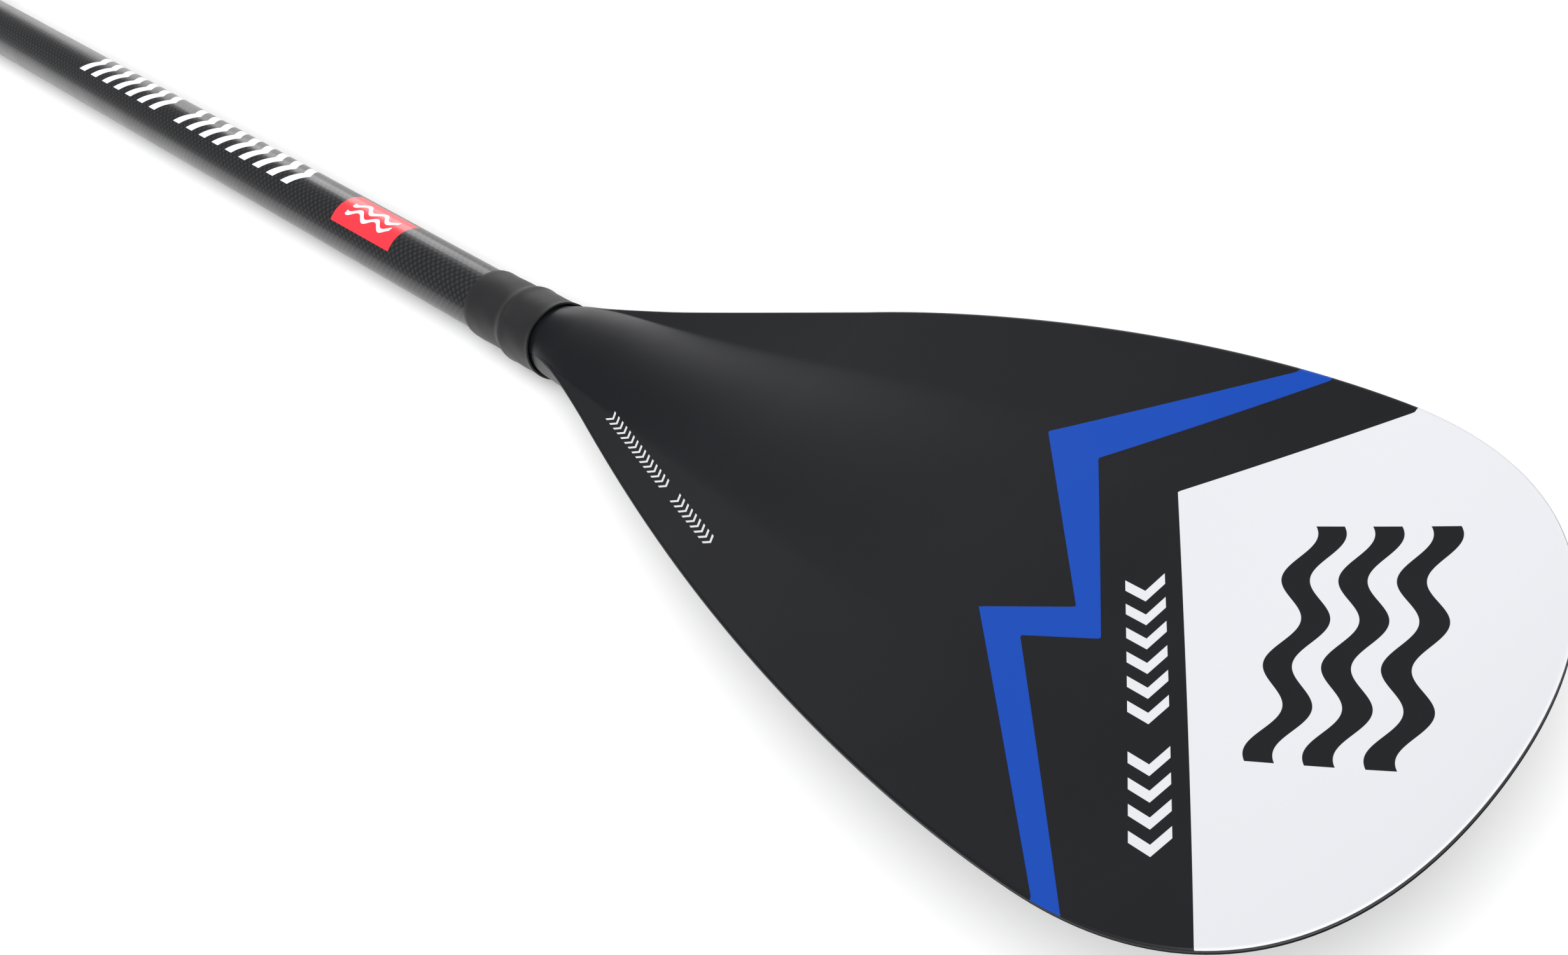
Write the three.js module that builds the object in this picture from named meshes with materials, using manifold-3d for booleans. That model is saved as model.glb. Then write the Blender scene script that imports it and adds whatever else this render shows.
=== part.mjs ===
// Adjustable three-piece stand-up paddle, lying on its back with the printed face of the blade up.
// Millimetres, +Z up. Places below are in the shaft's own frame: x = 0 is the blade-side end of the
// neck collar, +X runs along the shaft to the blade tip, and z = 0 is the shaft's centre line.
import * as THREE from 'three';
import { mergeVertices } from 'three/addons/utils/BufferGeometryUtils.js';
import Module from 'manifold-3d';

const wasm = await Module();
wasm.setup();

// ---- Driving dimensions ----
const GAP = 0.3; // between any two pieces that touch
const ROUND = 36; // facets round a tube

const BLADE_TIP_X = 460;
const BLADE_HALF_WIDTH = 97.5;
const WIDEST_X = 365;
const NECK_RADIUS = 15.8;
const NECK_START_X = -22;
const PARTING_HEIGHT = 7; // of the line where face and back meet on the round neck
const SKIN = 1.1; // laminate thickness of each blade skin
const SECTION_STEPS = 20; // facets across the blade
const CORE_START_X = 50;
const EDGE_HALF_THICKNESS = 1.6;
const HOLLOW_FACE = 6; // how far the middle of each side lies below the blade's edges
const HOLLOW_BACK = 7.5;
const SPINE_FACE = { rise: 4.2, length: 320, spread: 0.105 };
const SPINE_BACK = { length: 240, spread: 0.16 }; // spread is the growth of its half width per mm
const RAIL_WIDTH = 2.4;
const RAIL_START_X = 38;

const SHAFT_RADIUS = 14.5;
const SHAFT_BORE = 13.2;
const SHAFT_END_X = -1; // blade-side end of the lower shaft, inside the neck
const COLLAR_START_X = -50;
const COLLAR_WALL = 1.1;
const COLLAR_RIDGE_RADIUS = 17.5;
const JOINT_X = -640; // where the lower and middle sections meet
const FERRULE_RADIUS = 12.9;
const FERRULE_BORE = 11.4;
const FERRULE_REACH = 120; // ferrule length inside the lower shaft
const FERRULE_ROOT = 52; // ferrule length bonded into the middle shaft
const JOINT_RING_RADIUS = 16.2;
const JOINT_RING_LENGTH = 22;
const BUTTON_X = JOINT_X + 40;
const BUTTON_RADIUS = 3.9;
const BUTTON_HOLE_RADIUS = 4.2;

const MIDDLE_END_X = -1190;
const CLAMP_RADIUS = 17.5;
const CLAMP_START_X = -1160;
const CLAMP_END_X = -1204;
const BOLT = { x: -1182, y: 24, radius: 2.5 };
const PIVOT_Z = 15.2;
const LEVER_WIDTH = 22;
const KEY_HALF_WIDTH = 1.2;
const GROOVE_HALF_WIDTH = 1.6;
const GROOVE_FLOOR = 12;

const EXTENSION_BORE = 11.4;
const EXTENSION_INNER_END_X = -700;
const EXTENSION_TOP_X = -1310;
const GRIP_TOP_X = -1340;
const GRIP_HALF_LENGTH = 55;
const GRIP_HALF_DEPTH = 17;
const GRIP_HALF_HEIGHT = 17.5;
const GRIP_WALL = 2.6;
const STEM_END_X = -1266;
const STEM_ROOT_RADIUS = 16.8;
const STEM_RADIUS = 15.2;

const FLOOR_Z = -CLAMP_RADIUS;
const CENTRE_X = (BLADE_TIP_X + GRIP_TOP_X) / 2;

const COLOURS = {
  laminate: { color: 0x2b2c31, roughness: 0.45, metalness: 0 },
  foam: { color: 0xd9cfa8, roughness: 0.9, metalness: 0 },
  edge: { color: 0x1b1b1d, roughness: 0.5, metalness: 0 },
  carbon: { color: 0x38383a, roughness: 0.3, metalness: 0 },
  shrink: { color: 0x302e32, roughness: 0.65, metalness: 0 },
  nylon: { color: 0x1d1d1f, roughness: 0.55, metalness: 0 },
  steel: { color: 0xb9bcc0, roughness: 0.3, metalness: 1 },
  grip: { color: 0x232326, roughness: 0.5, metalness: 0 },
};

// ---- Mesh tools ----
function weld(geometry) {
  const bare = new THREE.BufferGeometry();
  bare.setAttribute('position', geometry.getAttribute('position').clone());
  if (geometry.index) bare.setIndex(geometry.index.clone());
  const merged = mergeVertices(bare, 1e-4);
  const source = merged.index.array;
  const index = [];
  for (let i = 0; i < source.length; i += 3) {
    const [a, b, c] = [source[i], source[i + 1], source[i + 2]];
    if (a !== b && b !== c && c !== a) index.push(a, b, c);
  }
  merged.setIndex(index);
  return outward(merged);
}

function outward(geometry) {
  const position = geometry.getAttribute('position');
  const index = Array.from(geometry.index.array);
  const [a, b, c] = [new THREE.Vector3(), new THREE.Vector3(), new THREE.Vector3()];
  let volume = 0;
  for (let i = 0; i < index.length; i += 3) {
    a.fromBufferAttribute(position, index[i]);
    b.fromBufferAttribute(position, index[i + 1]);
    c.fromBufferAttribute(position, index[i + 2]);
    volume += a.dot(b.cross(c));
  }
  if (volume < 0) index.reverse();
  geometry.setIndex(index);
  geometry.computeVertexNormals();
  return geometry;
}

function toSolid(geometry) {
  const { position } = geometry.attributes;
  const mesh = new wasm.Mesh({
    numProp: 3,
    vertProperties: new Float32Array(position.array),
    triVerts: new Uint32Array(geometry.index.array),
  });
  return new wasm.Manifold(mesh);
}

function toGeometry(solid) {
  const mesh = solid.getMesh();
  const geometry = new THREE.BufferGeometry();
  geometry.setAttribute('position', new THREE.BufferAttribute(mesh.vertProperties, 3));
  geometry.setIndex(new THREE.BufferAttribute(mesh.triVerts, 1));
  return weld(geometry);
}

function join(...pieces) {
  return toGeometry(pieces.map(toSolid).reduce((sum, piece) => sum.add(piece)));
}

function cut(piece, ...tools) {
  return toGeometry(tools.map(toSolid).reduce((rest, tool) => rest.subtract(tool), toSolid(piece)));
}

// A solid of revolution about the shaft axis; its [x, radius] pairs close on the axis or on themselves.
function turned(profile, segments = ROUND) {
  const points = profile.map(([x, radius]) => new THREE.Vector2(radius, x));
  return weld(new THREE.LatheGeometry(points, segments).rotateZ(-Math.PI / 2));
}

function tube(x0, x1, outer, inner) {
  return turned([[x0, inner], [x0, outer], [x1, outer], [x1, inner], [x0, inner]]);
}

function rod(x0, x1, radius, segments = ROUND) {
  return turned([[x0, 0], [x0, radius], [x1, radius], [x1, 0]], segments);
}

function upright(profile, x, y, segments = 20) {
  const points = profile.map(([z, radius]) => new THREE.Vector2(radius, z));
  return weld(new THREE.LatheGeometry(points, segments).rotateX(Math.PI / 2).translate(x, y, 0));
}

function pillar(x, y, z0, z1, radius, segments = 20) {
  return upright([[z0, 0], [z0, radius], [z1, radius], [z1, 0]], x, y, segments);
}

function box(x0, x1, y0, y1, z0, z1) {
  const geometry = new THREE.BoxGeometry(x1 - x0, y1 - y0, z1 - z0);
  return weld(geometry.translate((x0 + x1) / 2, (y0 + y1) / 2, (z0 + z1) / 2));
}

// A plate cut to an outline drawn across the shaft, in (y, z), and carried from x0 to x1.
function acrossShaft(shape, x0, x1) {
  const settings = { depth: x1 - x0, bevelEnabled: false, curveSegments: 24 };
  const plate = new THREE.ExtrudeGeometry(shape, settings);
  return weld(plate.rotateX(Math.PI / 2).rotateZ(Math.PI / 2).translate(x0, 0, 0));
}

// Closed rings of equal point counts, skinned one to the next and closed at both ends.
function loft(rings) {
  const count = rings[0].length;
  const last = (rings.length - 1) * count;
  const index = [];
  for (let i = 0; i < last; i += count) {
    for (let k = 0; k < count; k += 1) {
      const [a, b] = [i + k, i + ((k + 1) % count)];
      index.push(a, b, b + count, a, b + count, a + count);
    }
  }
  for (let k = 0; k < count / 2 - 1; k += 1) {
    const [a, b, c, d] = [k, k + 1, count - 2 - k, count - 1 - k];
    index.push(a, d, c, a, c, b);
    index.push(last + a, last + b, last + c, last + a, last + c, last + d);
  }
  const geometry = new THREE.BufferGeometry();
  geometry.setFromPoints(rings.flat());
  geometry.setIndex(index);
  return weld(geometry);
}

const smooth = (low, high, value) => THREE.MathUtils.smoothstep(value, low, high);

// ---- Blade shape ----
const at = (x, y) => new THREE.Vector2(x, y);
const PARTING_HALF_WIDTH = Math.sqrt(NECK_RADIUS ** 2 - PARTING_HEIGHT ** 2);
const OUTLINE = [
  new THREE.CubicBezierCurve(at(0, PARTING_HALF_WIDTH), at(16, 15.6), at(34, 21), at(62, 30.7)),
  new THREE.CubicBezierCurve(
    at(62, 30.7), at(122, 52.3), at(255, BLADE_HALF_WIDTH), at(WIDEST_X, BLADE_HALF_WIDTH),
  ),
  new THREE.CubicBezierCurve(
    at(WIDEST_X, BLADE_HALF_WIDTH), at(427, BLADE_HALF_WIDTH), at(BLADE_TIP_X, 62), at(BLADE_TIP_X, 0),
  ),
];
const EDGE_LINE = [
  new THREE.CubicBezierCurve(at(0, PARTING_HEIGHT), at(8, 12), at(20, 12.6), at(40, 14.2)),
  new THREE.CubicBezierCurve(at(40, 14.2), at(76, 16.9), at(115, 22.7), at(150, 29.2)),
  new THREE.CubicBezierCurve(at(150, 29.2), at(205, 41), at(320, 55.5), at(BLADE_TIP_X, 56)),
];

// Height at x on a chain of curves that always move forward in x.
function heightOn(chain, x) {
  const curve = chain.find(({ v3 }) => x <= v3.x);
  let [low, high] = [0, 1];
  for (let i = 0; i < 40; i += 1) {
    const middle = (low + high) / 2;
    if (curve.getPoint(middle).x < x) low = middle;
    else high = middle;
  }
  return curve.getPoint(low).y;
}

const halfWidth = (x) => (x <= 0 ? PARTING_HALF_WIDTH : heightOn(OUTLINE, x));
const edgeHeight = (x) => (x <= 0 ? PARTING_HEIGHT : heightOn(EDGE_LINE, x));
const edgeHalf = (x) => GAP / 2 + (EDGE_HALF_THICKNESS - GAP / 2) * smooth(0, 45, x);

// How far the middle of the face (side 1) or the back (side -1) stands off from the edges, as the
// round neck fades into a spine.
function spineRise(x, side) {
  const along = Math.max(x, 0);
  if (side > 0) {
    const neck = NECK_RADIUS - PARTING_HEIGHT - GAP / 2 - SPINE_FACE.rise;
    const fade = Math.max(0, 1 - along / SPINE_FACE.length) ** 1.3;
    return neck * Math.max(0, 1 - along / 20) ** 2 + SPINE_FACE.rise * fade;
  }
  const depth = NECK_RADIUS + edgeHeight(x) - edgeHalf(x);
  return depth * Math.max(0, 1 - along / SPINE_BACK.length) ** 1.5;
}

// Fall of the scooped blade below its edges.
function hollow(x, y, side) {
  const depth = side > 0 ? HOLLOW_FACE : HOLLOW_BACK;
  return smooth(0, 60, x) * depth * ((halfWidth(x) ** 2 - y ** 2) / BLADE_HALF_WIDTH ** 2);
}

// Place runs from -1 to 1 across a section; the round one is an arc through both edges and the crest.
function roundPoint(x, width, side, place) {
  const half = 2 * Math.atan(spineRise(x, side) / width);
  const radius = width / Math.sin(half);
  const rise = radius * (Math.cos(half * place) - Math.cos(half));
  return at(radius * Math.sin(half * place), edgeHeight(x) + side * (edgeHalf(x) + rise));
}

function flatPoint(x, width, side, place) {
  const y = width * Math.sin((Math.PI / 2) * place);
  const [spread, sharp] = side > 0 ? [SPINE_FACE.spread, 0.5] : [SPINE_BACK.spread, 1.1];
  const reach = Math.min(halfWidth(x), PARTING_HALF_WIDTH + spread * x);
  const shape = Math.max(0, 1 - (y / reach) ** 2) ** (0.7 + sharp * smooth(10, 110, x));
  const stand = edgeHalf(x) + spineRise(x, side) * shape;
  return at(y, edgeHeight(x) - hollow(x, y, side) + side * stand);
}

function sectionPoint(x, width, side, place) {
  const flat = side > 0 ? smooth(0, 30, x) : smooth(20, 90, x);
  if (flat === 0) return roundPoint(x, width, side, place);
  if (flat === 1) return flatPoint(x, width, side, place);
  return roundPoint(x, width, side, place).lerp(flatPoint(x, width, side, place), flat);
}

// One cross-section line of the blade, from -Y to +Y, sunk below the outer surface by depth but
// never past the parting line between the two skins.
function sectionLine(x, width, side, depth, steps) {
  const outer = [];
  for (let k = 0; k <= steps; k += 1) outer.push(sectionPoint(x, width, side, (2 * k) / steps - 1));
  return outer.map((point, k) => {
    const along = outer[Math.min(k + 1, steps)].clone().sub(outer[Math.max(k - 1, 0)]).normalize();
    const y = point.x + side * along.y * depth;
    const z = point.y - side * along.x * depth;
    const parting = edgeHeight(x) - hollow(x, y, -1) + (side * GAP) / 2;
    return new THREE.Vector3(x, y, side > 0 ? Math.max(z, parting) : Math.min(z, parting));
  });
}

// Points of one blade side's outline, moved in from the edge by inset.
function outlinePoints(inset, counts) {
  const points = [];
  OUTLINE.forEach((curve, n) => {
    const end = n === OUTLINE.length - 1 ? 0.94 : 1;
    for (let k = n === 0 ? 0 : 1; k <= counts[n]; k += 1) {
      const t = (end * k) / counts[n];
      const along = curve.getTangent(t);
      const point = curve.getPoint(t);
      const move = inset(point.x);
      points.push(at(point.x + along.y * move, point.y - along.x * move));
    }
  });
  return points;
}

const railWidth = (x) => (x < RAIL_START_X ? 0 : RAIL_WIDTH * (0.3 + 0.7 * smooth(RAIL_START_X, 70, x)));
const skinInset = (x) => (x < RAIL_START_X - 4 ? 0 : railWidth(Math.max(x, RAIL_START_X)) + GAP);

const bladeStations = () => outlinePoints(skinInset, [9, 10, 9]);

// Both skins and the core run the same way round where they meet, so that their facets stay parallel.
function bladeSkin(side) {
  const stations = [at(NECK_START_X, PARTING_HALF_WIDTH), ...bladeStations()];
  return loft(stations.map(({ x, y }) => {
    const ring = [
      ...sectionLine(x, y, side, 0, SECTION_STEPS),
      ...sectionLine(x, y, side, SKIN, SECTION_STEPS).reverse(),
    ];
    return side > 0 ? ring : ring.reverse();
  }));
}

// Foam between the skins, stopping short of the edges, the neck and the tip.
function bladeCore() {
  const stations = bladeStations().filter(({ x }) => x > CORE_START_X).slice(0, -1);
  const middle = (line) => line.slice(2, -2);
  return loft(stations.map(({ x, y }) => [
    ...middle(sectionLine(x, y, 1, SKIN + GAP, SECTION_STEPS)).reverse(),
    ...middle(sectionLine(x, y, -1, SKIN + GAP, SECTION_STEPS)),
  ]));
}

function edgeRail() {
  const side = [];
  OUTLINE.forEach((curve, n) => {
    const count = [6, 12, 12][n];
    for (let k = n === 0 ? 0 : 1; k <= count; k += 1) {
      side.push({ point: curve.getPoint(k / count), along: curve.getTangent(k / count) });
    }
  });
  const kept = side.filter(({ point }) => point.x >= RAIL_START_X);
  const ring = ({ point, along }, flip) => {
    const width = railWidth(point.x);
    const half = edgeHalf(point.x);
    const bead = [
      [-width, half], [-0.3 * width, half], [0, half / 2],
      [0, -half / 2], [-0.3 * width, -half], [-width, -half],
    ];
    const height = edgeHeight(point.x);
    return bead.map(([out, up]) => new THREE.Vector3(
      point.x - along.y * out,
      flip * (point.y + along.x * out),
      height + up,
    ));
  };
  const left = kept.map((station) => ring(station, 1));
  const right = kept.slice(0, -1).reverse().map((station) => ring(station, -1));
  return loft([...left, ...right]);
}

function neckInsert() {
  return turned([
    [-60, 10], [-60, FERRULE_RADIUS], [5, FERRULE_RADIUS], [38, 6], [38, 0], [0, 0], [0, 10], [-60, 10],
  ]);
}

function neckCollar() {
  const step = NECK_START_X - GAP;
  const [small, large] = [SHAFT_RADIUS + GAP, NECK_RADIUS + GAP];
  return turned([
    [COLLAR_START_X, small], [COLLAR_START_X, small + COLLAR_WALL], [step - 4, small + COLLAR_WALL],
    [step - 1, COLLAR_RIDGE_RADIUS], [step + 1, COLLAR_RIDGE_RADIUS], [step + 3, large + COLLAR_WALL],
    [0, large + COLLAR_WALL], [0, large], [step, large], [step, small], [COLLAR_START_X, small],
  ]);
}

// ---- Pull-apart joint ----
function lowerShaft() {
  const hole = pillar(BUTTON_X, 0, 0, 20, BUTTON_HOLE_RADIUS);
  return cut(tube(JOINT_X, SHAFT_END_X, SHAFT_RADIUS, SHAFT_BORE), hole);
}

function jointRing(x0, direction) {
  const x1 = x0 + direction * JOINT_RING_LENGTH;
  const inner = SHAFT_RADIUS + GAP;
  return turned([
    [x0, inner], [x0, JOINT_RING_RADIUS], [x1 - direction * 4, JOINT_RING_RADIUS],
    [x1, inner + 0.5], [x1, inner], [x0, inner],
  ]);
}

function jointFerrule() {
  const hole = pillar(BUTTON_X, 0, 0, 20, BUTTON_HOLE_RADIUS);
  return cut(tube(JOINT_X - FERRULE_ROOT, JOINT_X + FERRULE_REACH, FERRULE_RADIUS, FERRULE_BORE), hole);
}

function ferruleCap() {
  const end = JOINT_X + FERRULE_REACH;
  const bore = FERRULE_BORE - GAP;
  return turned([
    [end - 15, 9], [end - 15, bore], [end + GAP, bore], [end + GAP, 12.6], [end + 3, 12], [end + 3, 0],
    [end, 0], [end, 9], [end - 15, 9],
  ]);
}

function snapButton() {
  return upright([
    [8.2, 0], [8.2, 5], [9.6, 5], [9.6, BUTTON_RADIUS],
    [15.6, BUTTON_RADIUS], [16.5, 3.1], [17, 1.6], [17.1, 0],
  ], BUTTON_X, 0);
}

function buttonSpring() {
  const thickness = 0.7;
  const legs = [[BUTTON_X - 6, 7.5], [BUTTON_X + 8, 7.5], [BUTTON_X + 42, 0], [BUTTON_X - 4, -10]];
  const shape = new THREE.Shape();
  shape.moveTo(...legs[0]);
  legs.slice(1).forEach((corner) => shape.lineTo(...corner));
  shape.lineTo(legs[3][0], legs[3][1] + thickness);
  shape.lineTo(legs[2][0] - 3, 0);
  shape.lineTo(legs[1][0], legs[1][1] - thickness);
  shape.lineTo(legs[0][0], legs[0][1] - thickness);
  const strip = new THREE.ExtrudeGeometry(shape, { depth: 6, bevelEnabled: false });
  return weld(strip.rotateX(Math.PI / 2).translate(0, 3, 0));
}

// ---- Height clamp ----
function middleShaft() {
  const slit = box(MIDDLE_END_X - 1, CLAMP_START_X + 4, 0, 20, -1.25, 1.25);
  return cut(tube(MIDDLE_END_X, JOINT_X - GAP, SHAFT_RADIUS, SHAFT_BORE), slit);
}

function clampBody() {
  const lip = MIDDLE_END_X - GAP;
  const inner = SHAFT_RADIUS + GAP;
  const lipBore = FERRULE_RADIUS + GAP + 0.1;
  const ring = turned([
    [CLAMP_START_X, inner], [CLAMP_START_X, CLAMP_RADIUS - 1.2], [CLAMP_START_X - 2, CLAMP_RADIUS],
    [CLAMP_END_X + 3, CLAMP_RADIUS], [CLAMP_END_X, CLAMP_RADIUS - 2], [CLAMP_END_X, lipBore],
    [lip, lipBore], [lip, inner], [CLAMP_START_X, inner],
  ]);
  const lugs = new THREE.Shape();
  lugs.moveTo(12, -8);
  lugs.lineTo(27, -8);
  lugs.absarc(27, -4, 4, -Math.PI / 2, 0);
  lugs.lineTo(31, 4);
  lugs.absarc(27, 4, 4, 0, Math.PI / 2);
  lugs.lineTo(12, 8);
  const lugBlock = cut(acrossShaft(lugs, BOLT.x - 12, BOLT.x + 12), rod(BOLT.x - 13, BOLT.x + 13, 16));
  const key = box(CLAMP_END_X, lip, -lipBore - 1, -GROOVE_FLOOR - GAP, -KEY_HALF_WIDTH, KEY_HALF_WIDTH);
  const split = box(CLAMP_END_X - 1, CLAMP_START_X + 1, 5, 40, -1.5, 1.5);
  const boltHole = pillar(BOLT.x, BOLT.y, -20, 20, BOLT.radius + GAP);
  return cut(join(ring, lugBlock, key), split, boltHole);
}

function clampBolt() {
  const eye = rod(BOLT.x - 3.5, BOLT.x + 3.5, 4.2, 24).translate(0, BOLT.y, PIVOT_Z);
  const shank = pillar(BOLT.x, BOLT.y, -11.5, PIVOT_Z - 2, BOLT.radius);
  const pinHole = rod(BOLT.x - 5, BOLT.x + 5, 2.3, 24).translate(0, BOLT.y, PIVOT_Z);
  return cut(join(eye, shank), pinHole);
}

function clampNut() {
  const hexagon = pillar(BOLT.x, BOLT.y, -12, -8 - GAP, 4.6, 6);
  return cut(hexagon, pillar(BOLT.x, BOLT.y, -20, 0, BOLT.radius + GAP));
}

function camSaddle() {
  const plate = box(BOLT.x - 11, BOLT.x + 11, 18.6, 30, 8 + GAP, 9.8);
  return cut(plate, pillar(BOLT.x, BOLT.y, 0, 20, BOLT.radius + GAP));
}

function pivotPin() {
  return rod(BOLT.x - 12, BOLT.x + 12, 2, 24).translate(0, BOLT.y, PIVOT_Z);
}

// The cam is thickest under the pin when the lever is closed, and the arm wraps over the clamp.
function clampLever() {
  const [x0, x1] = [BOLT.x - LEVER_WIDTH / 2, BOLT.x + LEVER_WIDTH / 2];
  const cam = rod(x0, x1, 4.5, 32).translate(0, BOLT.y, PIVOT_Z - 0.6);
  const [inner, outer] = [CLAMP_RADIUS + 0.6, CLAMP_RADIUS + 3.4];
  const [start, end] = [THREE.MathUtils.degToRad(42), THREE.MathUtils.degToRad(150)];
  const arm = new THREE.Shape();
  arm.moveTo(BOLT.y, PIVOT_Z - 1);
  arm.lineTo(BOLT.y + 1.5, PIVOT_Z + 3);
  arm.lineTo(outer * Math.cos(start + 0.25), outer * Math.sin(start + 0.25));
  arm.absarc(0, 0, outer, start + 0.25, end);
  arm.lineTo(inner * Math.cos(end), inner * Math.sin(end));
  arm.absarc(0, 0, inner, end, start, true);
  const tab = new THREE.Shape();
  tab.moveTo(outer * Math.cos(end), outer * Math.sin(end));
  tab.lineTo(-21.5, 5);
  tab.lineTo(-20.2, 4.2);
  tab.lineTo(inner * Math.cos(end), inner * Math.sin(end));
  tab.lineTo(inner * Math.cos(end - 0.1), inner * Math.sin(end - 0.1));
  tab.lineTo(outer * Math.cos(end - 0.1), outer * Math.sin(end - 0.1));
  const body = join(cam, acrossShaft(arm, x0, x1), acrossShaft(tab, x0 + 3, x1 - 3));
  const eyeSlot = box(BOLT.x - 3.9, BOLT.x + 3.9, 18.2, 32, 0, 24);
  const pinHole = rod(x0 - 2, x1 + 2, 2.3, 24).translate(0, BOLT.y, PIVOT_Z);
  return cut(body, eyeSlot, pinHole);
}

// ---- Handle extension ----
function extensionTube() {
  const groove = box(
    EXTENSION_TOP_X - 1, EXTENSION_INNER_END_X + 1,
    -20, -GROOVE_FLOOR, -GROOVE_HALF_WIDTH, GROOVE_HALF_WIDTH,
  );
  const wall = tube(EXTENSION_TOP_X, EXTENSION_INNER_END_X, FERRULE_RADIUS, EXTENSION_BORE);
  return cut(wall, groove);
}

function extensionGuide() {
  const face = EXTENSION_INNER_END_X + GAP;
  const bore = EXTENSION_BORE - GAP;
  return turned([
    [face - 18, 9], [face - 18, bore], [face, bore], [face, 12.95], [face + 5, 12.95], [face + 5, 0],
    [face + 2, 0], [face + 2, 9], [face - 18, 9],
  ]);
}

function extensionCap() {
  const bore = EXTENSION_BORE - GAP;
  return turned([
    [EXTENSION_TOP_X - GAP - 2, 0], [EXTENSION_TOP_X - GAP - 2, 12.6], [EXTENSION_TOP_X - GAP, 12.6],
    [EXTENSION_TOP_X - GAP, bore], [EXTENSION_TOP_X + 16, bore], [EXTENSION_TOP_X + 16, 9],
    [EXTENSION_TOP_X, 9], [EXTENSION_TOP_X, 0],
  ]);
}

// The bar of the T, shrunk all round by inset; its top and bottom are flat along the middle.
function gripBar(inset) {
  const stations = [-1, -0.96, -0.86, -0.6, -0.32, 0, 0.32, 0.6, 0.86, 0.96, 1];
  return loft(stations.map((place) => {
    const taper = smooth(0.34, 1, Math.abs(place));
    const rounding = smooth(0.86, 1.02, Math.abs(place));
    const depth = GRIP_HALF_DEPTH - 4 * taper - 4 * rounding - inset;
    const height = GRIP_HALF_HEIGHT - 3.5 * taper - 4 * rounding - inset;
    const corner = Math.min(depth, height) * 0.8;
    const shape = new THREE.Shape();
    shape.moveTo(depth, corner - height);
    shape.absarc(depth - corner, height - corner, corner, 0, Math.PI / 2);
    shape.absarc(corner - depth, height - corner, corner, Math.PI / 2, Math.PI);
    shape.absarc(corner - depth, corner - height, corner, Math.PI, 1.5 * Math.PI);
    shape.absarc(depth - corner, corner - height, corner, 1.5 * Math.PI, 2 * Math.PI);
    const ring = shape.getPoints(4).slice(1);
    const centre = GRIP_TOP_X + GRIP_HALF_DEPTH + 2.5 * taper;
    const y = place * (GRIP_HALF_LENGTH - inset);
    return ring.map((point) => new THREE.Vector3(centre + point.x, y, point.y));
  }));
}

function gripShell(side) {
  const barEnd = GRIP_TOP_X + 2 * GRIP_HALF_DEPTH;
  const stem = turned([
    [GRIP_TOP_X + 14, 0], [GRIP_TOP_X + 14, STEM_ROOT_RADIUS], [barEnd, STEM_ROOT_RADIUS],
    [barEnd + 16, STEM_RADIUS], [STEM_END_X, STEM_RADIUS], [STEM_END_X, 0],
  ]);
  const bore = rod(GRIP_TOP_X + 18, STEM_END_X + 1, FERRULE_RADIUS + GAP);
  const [low, high] = side > 0 ? [-30, GAP / 2] : [-GAP / 2, 30];
  const otherHalf = box(GRIP_TOP_X - 5, STEM_END_X + 5, -60, 60, low, high);
  return cut(join(gripBar(0), stem), gripBar(GRIP_WALL), bore, otherHalf);
}

function gripCollar() {
  const step = STEM_END_X + GAP;
  const [small, large] = [FERRULE_RADIUS + GAP, STEM_RADIUS + GAP];
  return turned([
    [step - 13, large], [step - 13, large + 1], [step, large + 1], [step + 3, small + 1],
    [step + 26, small + 1], [step + 26, small], [step, small], [step, large], [step - 13, large],
  ]);
}

// ---- Assembly ----
const PIECES = [
  ['blade_face_skin', bladeSkin(1), 'laminate'],
  ['blade_back_skin', bladeSkin(-1), 'laminate'],
  ['blade_foam_core', bladeCore(), 'foam'],
  ['blade_edge_rail', edgeRail(), 'edge'],
  ['neck_insert', neckInsert(), 'nylon'],
  ['neck_collar', neckCollar(), 'shrink'],
  ['lower_shaft', lowerShaft(), 'carbon'],
  ['lower_foam_plug', rod(-500, -470, FERRULE_RADIUS), 'foam'],
  ['lower_joint_ring', jointRing(JOINT_X, 1), 'nylon'],
  ['middle_shaft', middleShaft(), 'carbon'],
  ['middle_joint_ring', jointRing(JOINT_X - GAP, -1), 'nylon'],
  ['joint_ferrule', jointFerrule(), 'carbon'],
  ['ferrule_end_cap', ferruleCap(), 'nylon'],
  ['ferrule_foam_plug', rod(JOINT_X - 40, JOINT_X - 10, FERRULE_BORE - GAP), 'foam'],
  ['button_spring', buttonSpring(), 'steel'],
  ['snap_button', snapButton(), 'steel'],
  ['clamp_body', clampBody(), 'nylon'],
  ['clamp_bolt', clampBolt(), 'steel'],
  ['clamp_nut', clampNut(), 'steel'],
  ['cam_saddle', camSaddle(), 'steel'],
  ['lever_pivot_pin', pivotPin(), 'steel'],
  ['clamp_lever', clampLever(), 'nylon'],
  ['extension_tube', extensionTube(), 'carbon'],
  ['extension_guide', extensionGuide(), 'nylon'],
  ['extension_end_cap', extensionCap(), 'nylon'],
  ['grip_upper_shell', gripShell(1), 'grip'],
  ['grip_lower_shell', gripShell(-1), 'grip'],
  ['grip_collar', gripCollar(), 'shrink'],
];

const paddle = new THREE.Group();
paddle.position.set(-CENTRE_X, 0, -FLOOR_Z);
for (const [name, geometry, colour] of PIECES) {
  const piece = new THREE.Mesh(geometry, new THREE.MeshStandardMaterial(COLOURS[colour]));
  piece.name = name;
  paddle.add(piece);
}

export default paddle;
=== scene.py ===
from math import atan, atan2, copysign, cos, exp, hypot, pi, radians, sin, sqrt

import bmesh
import bpy
import numpy as np
from bpy.props import FloatProperty, FloatVectorProperty, IntProperty, PointerProperty, StringProperty
from mathutils import Matrix, Vector


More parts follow.
